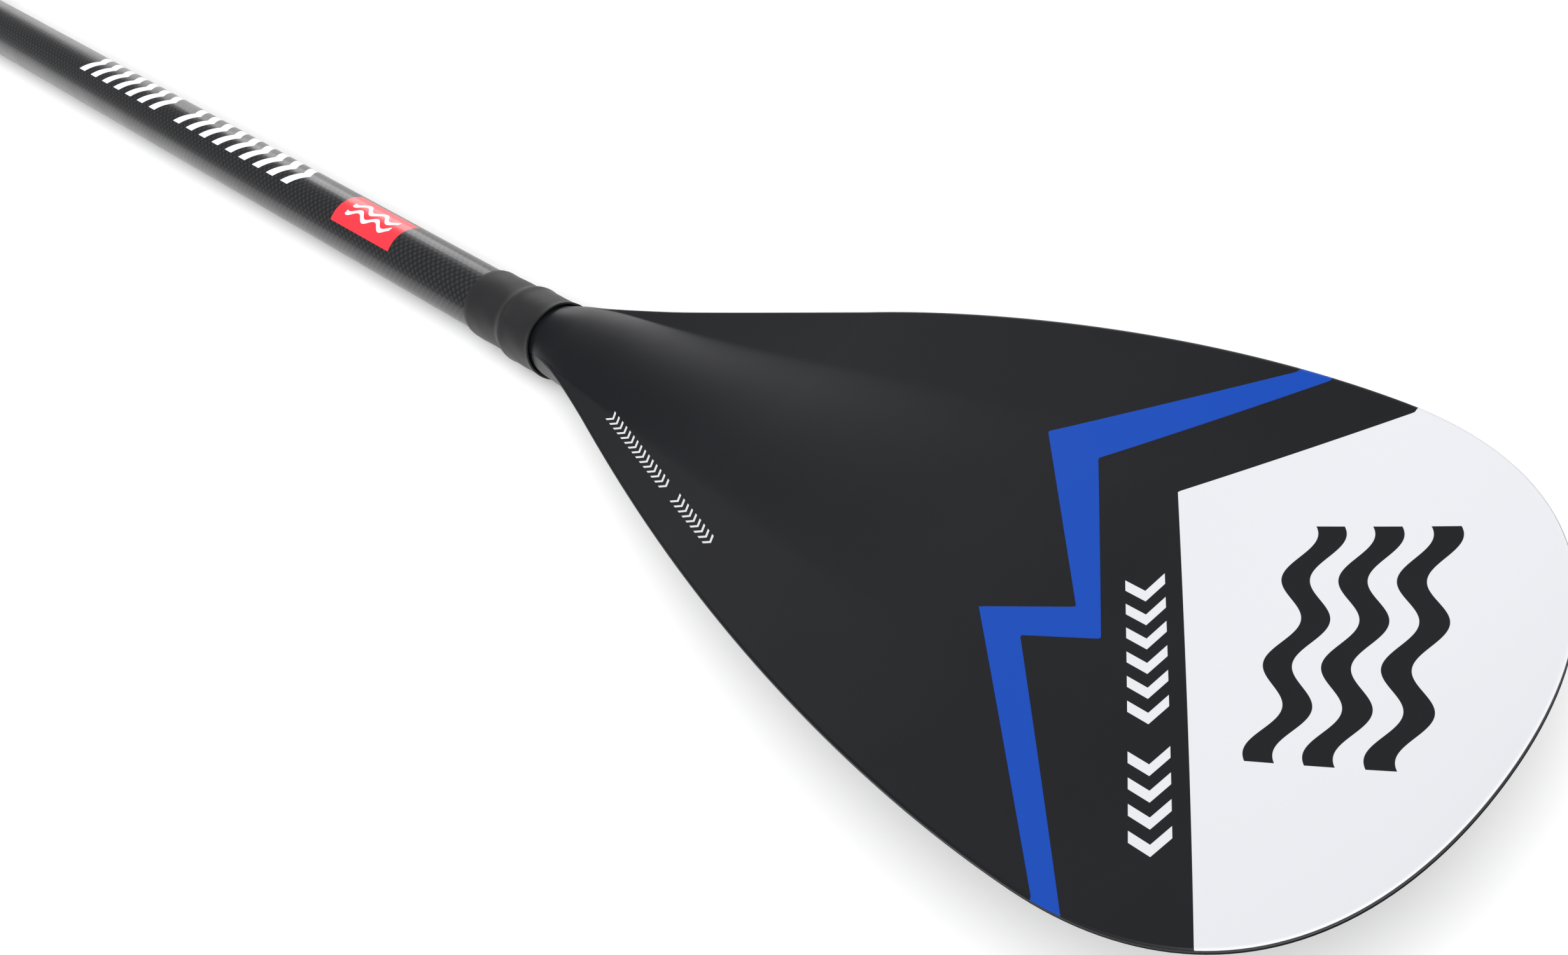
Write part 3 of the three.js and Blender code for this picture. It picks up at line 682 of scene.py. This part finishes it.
def edge_heights():
    """Height of the blade's edge line above the shaft's axis, as a function of x."""
    tip = settings("blade").length / MM
    curves = [
        [(0, PARTING), (8, 12), (20, 12.6), (40, 14.2)],
        [(40, 14.2), (76, 16.9), (115, 22.7), (150, 29.2)],
        [(150, 29.2), (205, 41), (320, 55.5), (tip, 56)],
    ]
    rise = [bezier(curve, k / 150)[0] for curve in curves for k in range(151)]
    return lambda x: float(np.interp(x, [point.x for point in rise], [point.y for point in rise]))


def spine_rise(x, side, edge_height, half_thickness):
    """How far the middle of one side stands off from the edges, as the round neck fades into a spine."""
    along = max(x, 0)
    if side > 0:
        rise = settings("blade").spine_rise / MM
        root = (NECK - PARTING - SEAM - rise) * max(0, 1 - along / 20) ** 2
        return root + rise * max(0, 1 - along / 320) ** 1.3
    return (NECK + edge_height - half_thickness) * max(0, 1 - along / 240) ** 1.5


def blade_point(x, half_width, pull, side, place, edge_height):
    """Distance from the edge, y and z at a place from -1 to 1 across one section of one side."""
    blade = settings("blade")
    flat_y = half_width * sin(place * pi / 2)
    distance = (half_width ** 2 - flat_y ** 2) / (2 * max(hypot(pull, flat_y), 1e-6))
    half_thickness = SEAM + (blade.edge_thickness / MM / 2 - SEAM) * smooth(0, 45, x)
    base = SEAM + 0.6 * smooth(28, 50, x)
    rolled = sqrt(1 - (1 - min(max(distance / 1.1, 0), 1)) ** 2)
    edge = base + (half_thickness - base) * rolled if x > 0 else half_thickness
    rise = spine_rise(x, side, edge_height, half_thickness)
    flat = smooth(0, 30, x) if side > 0 else smooth(20, 90, x)
    fall = (blade.face_hollow if side > 0 else blade.back_hollow) / MM / (blade.width / MM / 2) ** 2
    fall *= smooth(0, 60, x) * (half_width ** 2 - flat_y ** 2)
    spread, sharp = (0.125, 0.8) if side > 0 else (0.16, 1.1)
    reach = max(min(half_width, PARTING_HALF + spread * max(x, 0)), 1e-6)
    shape = max(0, 1 - (flat_y / reach) ** 2) ** (0.7 + sharp * smooth(10, 110, x))
    y, z = flat_y, edge_height - fall + side * (edge + rise * shape)
    if flat < 1:
        half_turn = 2 * atan(rise / half_width)
        radius = half_width / sin(half_turn)
        round_y = radius * sin(half_turn * place)
        round_z = edge_height + side * (edge + radius * (cos(half_turn * place) - cos(half_turn)))
        y, z = y * flat + round_y * (1 - flat), z * flat + round_z * (1 - flat)
    return distance, y, z


def blade_skin(side):
    """One laminate skin with its half of the neck, as a grid laid on its surface."""
    bm = bmesh.new()
    stations = blade_stations((34, 110, 44))
    count = len(stations) - 1
    bmesh.ops.create_grid(bm, x_segments=count, y_segments=144, size=1)
    layer = bm.verts.layers.float.new("edge_distance")
    height_at = edge_heights()
    rises = [height_at(station[0]) for station in stations]
    for vert in bm.verts:
        row = round((vert.co.x + 1) / 2 * count)
        x, half_width, pull = stations[row]
        distance, y, z = blade_point(x, half_width, pull, side, vert.co.y, rises[row])
        vert[layer] = distance if x > 0 else 50
        vert.co = (x, y, z)
    bmesh.ops.remove_doubles(bm, verts=bm.verts, dist=1e-4)
    bmesh.ops.recalc_face_normals(bm, faces=bm.faces)
    if sum(face.normal.z * face.calc_area() for face in bm.faces) * side < 0:
        bmesh.ops.reverse_faces(bm, faces=bm.faces)
    bmesh.ops.solidify(bm, geom=bm.faces[:], thickness=settings("blade").skin / MM)
    return bm


def blade_trim():
    """The edge trim: a flattened bead swept round the blade from one side of the neck to the other."""
    stations = [s for s in blade_stations((26, 110, 60)) if s[0] >= TRIM_START]
    height_at = edge_heights()
    count = 2 * len(stations) - 2
    bm = bmesh.new()
    bmesh.ops.create_grid(bm, x_segments=count, y_segments=16, size=1)
    for vert in bm.verts:
        row = round((vert.co.x + 1) / 2 * count)
        flip = 1 if row < len(stations) else -1
        x, half_width, pull = stations[row if flip > 0 else count - row]
        normal = Vector((-pull, half_width)).normalized() if half_width > 0 else Vector((1, 0))
        width = 2.4 * (0.3 + 0.7 * smooth(TRIM_START, 70, x))
        turn = vert.co.y * pi
        inset = width / 2 * (1 - cos(turn))
        place = Vector((x, half_width)) - normal * inset
        vert.co = (place.x, flip * place.y, height_at(x) + 0.45 * sin(turn))
    bmesh.ops.remove_doubles(bm, verts=bm.verts, dist=1e-4)
    bmesh.ops.holes_fill(bm, edges=[e for e in bm.edges if e.is_boundary], sides=0)
    return bm


class PADDLE_OT_blade(bpy.types.Operator):
    """Build the two laminate skins and the edge trim of the blade"""

    bl_idname = "paddle.blade"
    bl_label = "Blade"

    def execute(self, context):
        face = kept("printed_satin_laminate", laminate_material, True)
        back = kept("satin_laminate", laminate_material, False)
        trim = kept("abs_edge", moulded_material, "#101012", 0.42, 0.4)
        body = "blade_section"
        piece_from(blade_skin(1), "blade_face", body, "blade_face_skin", face, 50)
        piece_from(blade_skin(-1), "blade_back", body, "blade_back_skin", back, 50)
        piece_from(blade_trim(), "blade_trim", body, "blade_edge_rail", trim, 60)
        return {"FINISHED"}


# ---- Shafts ----
BUTTON_X = sum(span("snap_button")) / 2
BUTTON_HOLE = 4.2


def tube(node, outer, inner, *cutters):
    """The tube that stands for a CAD node, with softened ends and some solids cut from it."""
    return shaped(lathed(pipe(*span(node), outer, inner), 0.3, 128), [cut(tool) for tool in cutters])


class PADDLE_OT_shafts(bpy.types.Operator):
    """Build the woven carbon tubes of the lower, middle and extension sections"""

    bl_idname = "paddle.shafts"
    bl_label = "Shafts"

    def execute(self, context):
        shaft = settings("shaft")
        radius, bore = shaft.radius / MM, shaft.bore / MM
        inner, inner_bore = shaft.inner_radius / MM, shaft.inner_bore / MM
        printed = kept("printed_woven_carbon", carbon_material, radius, "print")
        plain = kept("woven_carbon", carbon_material, radius)
        ground = kept("ground_woven_carbon", carbon_material, inner)
        scaled = kept("scaled_woven_carbon", carbon_material, inner, "scale")
        hole = bar(4, 22, BUTTON_HOLE)
        lower = tube("lower_shaft", radius, bore, upright(hole, BUTTON_X))
        piece_from(lower, "lower_tube", "blade_section", "lower_shaft", printed)
        clamp_end = span("middle_shaft")[0]
        slit = block((clamp_end - 1, span("clamp_body")[1] + 4), (0, 20), (-1.25, 1.25))
        middle = tube("middle_shaft", radius, bore, slit)
        piece_from(middle, "middle_tube", "middle_section", "middle_shaft", plain)
        ferrule = tube("joint_ferrule", inner, inner_bore, upright(hole, BUTTON_X))
        piece_from(ferrule, "ferrule_tube", "middle_section", "joint_ferrule", ground)
        x0, x1 = span("extension_tube")
        groove = block((x0 - 1, x1 + 1), (-20, -12), (-1.6, 1.6))
        extension = tube("extension_tube", inner, inner_bore, groove)
        slot = node = "extension_tube"
        piece_from(extension, "inner_tube", "handle_extension", node, scaled)
        return {"FINISHED"}


# ---- Shrunk collars ----
def shrunk_sleeve(x0, x1, step, small, large, ridge, lip, seed):
    """A sleeve shrunk over a step in radius, wrinkled a little by the heat gun."""
    wall = settings("fitting").collar_wall / MM
    count = 56
    outer = []
    for k in range(count + 1):
        x = x0 + (x1 - x0) * k / count
        climb = small + (large - small) * smooth(step - 5, step + 2, x)
        swell = ridge * exp(-((x - step) / 2.6) ** 2)
        ends = 0.25 * wall * (smooth(2.0, 0, x - x0) + (0 if lip else smooth(2.0, 0, x1 - x)))
        flare = lip * smooth(x1 - 3, x1, x) if lip else 0
        outer.append((x, climb + wall + swell - ends + flare))
    bore = [(x1, large + 1.8 * lip), (x1 - 4, large), (step, large), (step, small), (x0, small)]
    bm = lathed(outer + bore, 0)
    for vert in bm.verts:
        radius = hypot(vert.co.y, vert.co.z)
        if radius < 1e-6:
            continue
        turn = atan2(vert.co.z, vert.co.y)
        wave = 0.12 * sin(3 * turn + 0.21 * vert.co.x + seed) + 0.07 * sin(7 * turn - 0.33 * vert.co.x)
        wave *= smooth(x0, x0 + 8, vert.co.x) * 0.8
        if radius > min(small, large) + wall * 0.6:
            vert.co.y *= 1 + wave / radius
            vert.co.z *= 1 + wave / radius
        if vert.co.x > x1 - 1.5 or vert.co.x < x0 + 1.5:
            vert.co.x += 0.22 * sin(2 * turn + seed) + 0.12 * sin(5 * turn)
    return bm


class PADDLE_OT_collars(bpy.types.Operator):
    """Build the heat-shrunk sleeves at the blade's neck and at the grip's stem"""

    bl_idname = "paddle.collars"
    bl_label = "Shrunk collars"

    def execute(self, context):
        sleeve = kept("shrink_tubing", sleeve_material)
        ridge = settings("fitting").collar_ridge / MM
        x0, x1 = span("neck_collar")
        neck = shrunk_sleeve(x0, x1, NECK_START - 0.3, 14.8, 16.1, ridge, 0.35, 0.4)
        piece_from(neck, "neck_sleeve", "blade_section", "neck_collar", sleeve, 60)
        x0, x1 = span("grip_collar")
        flipped = shrunk_sleeve(-x1, -x0, -x0 - 13, 13.2, 15.5, 0.15, 0, 1.7)
        bmesh.ops.scale(flipped, verts=flipped.verts, vec=(-1, 1, 1))
        piece_from(flipped, "grip_sleeve", "handle_extension", "grip_collar", sleeve, 60)
        return {"FINISHED"}


# ---- Pull-apart joint ----
RING_RADIUS, RING_BORE = 16.2, 14.8
GROOVE_RADIUS = 15.7


def joint_ring(x0, direction):
    """A ring bonded round the end of a tube, with two finger grooves and a long taper."""
    profile = [(0, RING_BORE), (0, RING_RADIUS)]
    for start in (5, 10):
        profile += [(start, RING_RADIUS), (start + 0.6, GROOVE_RADIUS)]
        profile += [(start + 1.6, GROOVE_RADIUS), (start + 2.2, RING_RADIUS)]
    profile += [(17, RING_RADIUS), (22, 15.3), (22, RING_BORE)]
    bm = lathed(profile, 0.22)
    bmesh.ops.scale(bm, verts=bm.verts, vec=(direction, 1, 1))
    return moved(bm, x0)


def button_leaf():
    """The bent strip inside the ferrule that pushes the button out."""
    legs = [(-6, 7.5), (8, 7.5), (42, 0), (-4, -10), (-4, -9.3), (39, 0), (8, 6.8), (-6, 6.8)]
    return moved(turned(plate(legs, -3, 3), "Z", -90), BUTTON_X)


class PADDLE_OT_joint(bpy.types.Operator):
    """Build the joint rings, the ferrule's end cap, the snap button and its spring"""

    bl_idname = "paddle.joint"
    bl_label = "Pull-apart joint"

    def execute(self, context):
        nylon = nylon_material()
        steel = kept("stainless_tumbled", steel_material)
        lower = joint_ring(span("lower_joint_ring")[0], 1)
        piece_from(lower, "lower_ring", "blade_section", "lower_joint_ring", nylon)
        middle = joint_ring(span("middle_joint_ring")[1], -1)
        piece_from(middle, "middle_ring", "middle_section", "middle_joint_ring", nylon)
        end = span("ferrule_end_cap")[1]
        cap = lathed([
            (end, 0), (end, 11.2), (end - 1.4, 12.6), (end - 2.7, 12.6), (end - 2.7, 11.1),
            (end - 18, 11.1), (end - 18, 9), (end - 3, 9), (end - 3, 0),
        ], 0.35)
        piece_from(cap, "ferrule_plug", "middle_section", "ferrule_end_cap", nylon)
        profile = [(8.2, 0), (8.2, 5), (9.6, 5), (9.6, 3.9), (16.2, 3.9), (17.1, 2.2), (17.1, 0)]
        button = upright(profile, BUTTON_X, 0, 0.5)
        piece_from(button, "button", "snap_button", "snap_button", steel)
        leaf = button_leaf()
        leaf = piece_from(leaf, "button_leaf", "middle_section", "button_spring", steel)
        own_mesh(leaf)
        return {"FINISHED"}


# ---- Height clamp ----
BOLT_X, BOLT_Y, PIVOT_Z = -1182, 24, 15.2
PIN_BORE = 2.3
BOLT_HOLE = 2.8


def rod_along(x0, x1, radius, edge=0.3):
    """A round bar along the shaft's direction at the clamp's pivot."""
    return moved(lathed(bar(x0, x1, radius), edge, 48), 0, BOLT_Y, PIVOT_Z)


def arc(radius, start, end, count, centre=(0, 0)):
    """Points of an arc in (y, z), between two angles in degrees."""
    turns = [radians(start + (end - start) * k / count) for k in range(count + 1)]
    return [(centre[0] + radius * cos(turn), centre[1] + radius * sin(turn)) for turn in turns]


def clamp_body():
    """The split ring that squeezes the middle shaft onto the extension, with its two lugs."""
    x0, x1 = span("clamp_body")
    lip = span("middle_shaft")[0] - 0.3
    ring = lathed([
        (x1, 14.8), (x1, 16.3), (x1 - 2, 17.5), (x0 + 3, 17.5), (x0, 15.5), (x0, 13.3),
        (lip, 13.3), (lip, 14.8),
    ], 0.4)
    lugs = plate(
        [(12, -8), *arc(4, -90, 0, 6, (27, -4)), *arc(4, 0, 90, 6, (27, 4)), (12, 8)],
        BOLT_X - 12, BOLT_X + 12, 0, 0.7,
    )
    core = lathed(bar(BOLT_X - 13, BOLT_X + 13, 16), 0)
    lugs = shaped(lugs, [cut(core)])
    split = block((x0 - 1, x1 + 1), (5, 40), (-1.5, 1.5))
    bolt_hole = upright(bar(-20, 20, BOLT_HOLE), BOLT_X, BOLT_Y)
    key = block((x0 + 0.01, lip), (-14.3, -12.3), (-1.2, 1.2))
    return shaped(ring, [joined(lugs), joined(key), cut(split), cut(bolt_hole), edges_rounded(0.25)])


def clamp_lever():
    """The cam lever: a round cam on the pin and an arm that wraps over the clamp."""
    x0, x1 = BOLT_X - 11, BOLT_X + 11
    inner, outer = 18.1, 20.9
    arm = [(BOLT_Y - 1, PIVOT_Z - 1), (BOLT_Y + 3, PIVOT_Z + 1.5), (BOLT_Y + 1, PIVOT_Z + 3.5)]
    arm += arc(outer, 58, 150, 22) + arc(inner, 150, 44, 22)
    wrap = plate(arm, x0, x1, 0, 0.8)
    flick = [*arc(outer, 144, 150, 3), (-21.5, 5), (-20.2, 4.2), *arc(inner, 150, 144, 3)]
    tab = plate(flick, x0 + 3, x1 - 3, 0, 0.5)
    eye_slot = block((BOLT_X - 3.9, BOLT_X + 3.9), (18.2, 32), (0, 24))
    pin_bore = rod_along(x0 - 2, x1 + 2, PIN_BORE, 0)
    steps = [joined(wrap), joined(tab), cut(eye_slot), cut(pin_bore), edges_rounded(0.2)]
    return shaped(rod_along(x0, x1, 4.5), steps)


class PADDLE_OT_clamp(bpy.types.Operator):
    """Build the height clamp with its lever, bolt, nut, saddle and pin"""

    bl_idname = "paddle.clamp"
    bl_label = "Height clamp"

    def execute(self, context):
        steel = kept("stainless_tumbled", steel_material)
        plastic = kept("glass_filled_nylon", moulded_material, "#151517", 0.48, 0.35)
        lever = kept("lever_nylon", moulded_material, "#19191b", 0.4, 0.45)
        shank = upright(bar(-11.5, 13.2, 2.5), BOLT_X, BOLT_Y, 0.3)
        eye_bore = rod_along(BOLT_X - 5, BOLT_X + 5, PIN_BORE, 0)
        bolt = shaped(rod_along(BOLT_X - 3.5, BOLT_X + 3.5, 4.2), [joined(shank), cut(eye_bore)])
        nut = upright(pipe(-12, -8.3, 4.4, BOLT_HOLE), BOLT_X, BOLT_Y, 0, 6)
        nut = shaped(nut, [edges_rounded(0.35, 30)])
        saddle = block((BOLT_X - 11, BOLT_X + 11), (18.6, 30), (8.3, 9.8), 0.4)
        saddle = shaped(saddle, [cut(upright(bar(0, 20, BOLT_HOLE), BOLT_X, BOLT_Y))])
        pin = rod_along(BOLT_X - 12, BOLT_X + 12, 2, 0.4)
        section = "middle_section"
        piece_from(clamp_body(), "clamp_ring", section, "clamp_body", plastic, 32)
        piece_from(clamp_lever(), "lever", "clamp_lever", "clamp_lever", lever, 32)
        piece_from(pin, "lever_pin", section, "lever_pivot_pin", steel)
        piece_from(bolt, "eye_bolt", section, "clamp_bolt", steel, 32)
        piece_from(nut, "hex_nut", section, "clamp_nut", steel, 32)
        piece_from(saddle, "saddle_plate", section, "cam_saddle", steel, 32)
        return {"FINISHED"}


# ---- Extension ends and grip ----
def grip_form():
    """The T grip as one soft solid: a crowned bar blended into its stem."""
    top, stem_end = span("grip_lower_shell")
    barrel, squareness = 17, 0.72
    half_length = settings("fitting").grip_half_length / MM
    bm = bmesh.new()
    bmesh.ops.create_grid(bm, x_segments=48, y_segments=32, size=1)
    for vert in bm.verts:
        place = vert.co.x
        turn = vert.co.y * pi
        taper = smooth(0.3, 1, abs(place))
        end = max(0, (abs(place) - 0.88) / 0.12)
        pinch = sqrt(max(0, 1 - end * end * 0.55))
        depth = (barrel - 4 * taper) * pinch
        height = (17.5 - 4.5 * taper) * pinch
        across, up = cos(turn), sin(turn)
        x = top + barrel + 2.5 * taper + depth * copysign(abs(across) ** squareness, across)
        vert.co = (x, place * half_length, height * copysign(abs(up) ** squareness, up))
    bmesh.ops.remove_doubles(bm, verts=bm.verts, dist=1e-4)
    bmesh.ops.holes_fill(bm, edges=[e for e in bm.edges if e.is_boundary], sides=0)
    bmesh.ops.recalc_face_normals(bm, faces=bm.faces)
    stem = lathed([
        (top + 14, 0), (top + 14, 16.4), (top + 2 * barrel, 16.6), (top + 2 * barrel + 16, 15.2),
        (stem_end, 15.2), (stem_end, 0),
    ], 0.8)
    return shaped(bm, [
        joined(stem),
        ("REMESH", {"mode": "VOXEL", "voxel_size": 0.9}),
        ("SMOOTH", {"factor": 0.5, "iterations": 14}),
    ])


def grip_shell(side):
    """One half of the grip, parted along the shaft's middle plane and bored for the extension."""
    top, stem_end = span("grip_lower_shell")
    heights = (-30, 0.06) if side > 0 else (-0.06, 30)
    other_half = block((top - 5, stem_end + 5), (-60, 60), heights)
    bore = lathed(bar(top + 18, stem_end + 1, 13.2), 0)
    return shaped(grip_form(), [cut(bore), cut(other_half)])


class PADDLE_OT_grip(bpy.types.Operator):
    """Build the two halves of the T grip and the extension's guide plug"""

    bl_idname = "paddle.grip"
    bl_label = "Grip"

    def execute(self, context):
        nylon = nylon_material()
        grip = kept("grip_abs", moulded_material, settings("fitting").grip, 0.5, 0.8)
        section = "handle_extension"
        for name, side in (("grip_upper", 1), ("grip_lower", -1)):
            piece_from(grip_shell(side), name, section, name + "_shell", grip, 40)
        face = span("extension_guide")[0] + 18
        guide = lathed([
            (face + 5, 0), (face + 5, 12.95), (face, 12.95), (face, 11.1), (face - 18, 11.1),
            (face - 18, 9), (face + 2, 9), (face + 2, 0),
        ], 0.4)
        piece_from(guide, "guide_plug", section, "extension_guide", nylon)
        return {"FINISHED"}


class PADDLE_OT_inner_parts(bpy.types.Operator):
    """Give the pieces that stay inside their foam and nylon finishes"""

    bl_idname = "paddle.inner_parts"
    bl_label = "Inner parts"

    def execute(self, context):
        foam = kept("closed_cell_foam", foam_material)
        nylon = nylon_material()
        finishes = {
            "blade_foam_core": foam,
            "lower_foam_plug": foam,
            "ferrule_foam_plug": foam,
            "neck_insert": nylon,
            "extension_end_cap": nylon,
        }
        for node, material in finishes.items():
            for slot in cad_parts[node].material_slots:
                slot.link = "OBJECT"
                slot.material = material
        return {"FINISHED"}


# ---- Studio ----
def broad_light(name, turn, climb, spread, strength):
    """A soft, even light from a compass turn and a height above the floor, both in degrees."""
    lamp = bpy.data.lights.new(name, "SUN")
    lamp.energy = strength
    lamp.angle = radians(spread)
    made = bpy.data.objects.new(name, lamp)
    bpy.context.scene.collection.objects.link(made)
    made.rotation_euler = (0, radians(90 - climb), radians(turn))


class PADDLE_OT_studio(bpy.types.Operator):
    """Set the pale floor, the soft lights and the camera"""

    bl_idname = "paddle.studio"
    bl_label = "Studio"

    def execute(self, context):
        studio = settings("studio")
        scene = context.scene
        neck = Vector((NECK_END, 0, AXIS_HEIGHT))
        place = neck + Vector(studio.camera)
        view = (neck + Vector(studio.aim) - place).to_track_quat("-Z", "Y").to_matrix()
        view = view @ Matrix.Rotation(studio.roll, 3, "Z")
        lens = bpy.data.cameras.new("camera")
        lens.lens = studio.lens
        lens.clip_start = 0.01
        camera = bpy.data.objects.new("camera", lens)
        camera.matrix_world = Matrix.Translation(place) @ view.to_4x4()
        scene.collection.objects.link(camera)
        scene.camera = camera

        bm = bmesh.new()
        bmesh.ops.create_grid(bm, x_segments=1, y_segments=1, size=60)
        mesh = bpy.data.meshes.new("floor")
        bm.to_mesh(mesh)
        bm.free()
        mesh.materials.append(kept("matt_emulsion_board", floor_material))
        floor = bpy.data.objects.new("floor", mesh)
        scene.collection.objects.link(floor)

        world = bpy.data.worlds.new("studio")
        world.use_nodes = True
        world.node_tree.nodes.clear()
        sky = add_node(world.node_tree, "Background", [(1, 1, 1, 1), studio.sky])
        add_node(world.node_tree, "OutputWorld", [sky])
        scene.world = world
        scene.view_settings.view_transform = "Standard"
        broad_light("key", -30, 62, 70, studio.key)
        broad_light("side", 140, 15, 24, studio.side)
        return {"FINISHED"}


class PADDLE_PT_panel(bpy.types.Panel):
    """Shows the paddle's settings and the buttons that build its pieces"""

    bl_idname = "PADDLE_PT_panel"
    bl_label = "Paddle"
    bl_space_type = "VIEW_3D"
    bl_region_type = "UI"
    bl_category = "Paddle"

    def draw(self, context):
        for group in ("blade", "shaft", "fitting", "studio"):
            box = self.layout.box()
            for name in settings(group).__annotations__:
                box.prop(settings(group), name)
        for operator in OPERATORS:
            self.layout.operator(operator.bl_idname)


GROUPS = {
    "blade": BladeSettings,
    "shaft": ShaftSettings,
    "fitting": FittingSettings,
    "studio": StudioSettings,
}
OPERATORS = (
    PADDLE_OT_studio, PADDLE_OT_blade, PADDLE_OT_shafts, PADDLE_OT_collars, PADDLE_OT_joint,
    PADDLE_OT_clamp, PADDLE_OT_grip, PADDLE_OT_inner_parts,
)


def register():
    for group in GROUPS.values():
        bpy.utils.register_class(group)
    for name, group in GROUPS.items():
        setattr(bpy.types.Scene, "paddle_" + name, PointerProperty(type=group))
    for operator in OPERATORS:
        bpy.utils.register_class(operator)
    bpy.utils.register_class(PADDLE_PT_panel)


def unregister():
    bpy.utils.unregister_class(PADDLE_PT_panel)
    for operator in reversed(OPERATORS):
        bpy.utils.unregister_class(operator)
    for name, group in reversed(GROUPS.items()):
        delattr(bpy.types.Scene, "paddle_" + name)
        bpy.utils.unregister_class(group)


def main():
    register()
    bpy.ops.paddle.studio()
    bpy.ops.paddle.blade()
    bpy.ops.paddle.shafts()
    bpy.ops.paddle.collars()
    bpy.ops.paddle.joint()
    bpy.ops.paddle.clamp()
    bpy.ops.paddle.grip()
    bpy.ops.paddle.inner_parts()


if __name__ == "__main__":
    main()
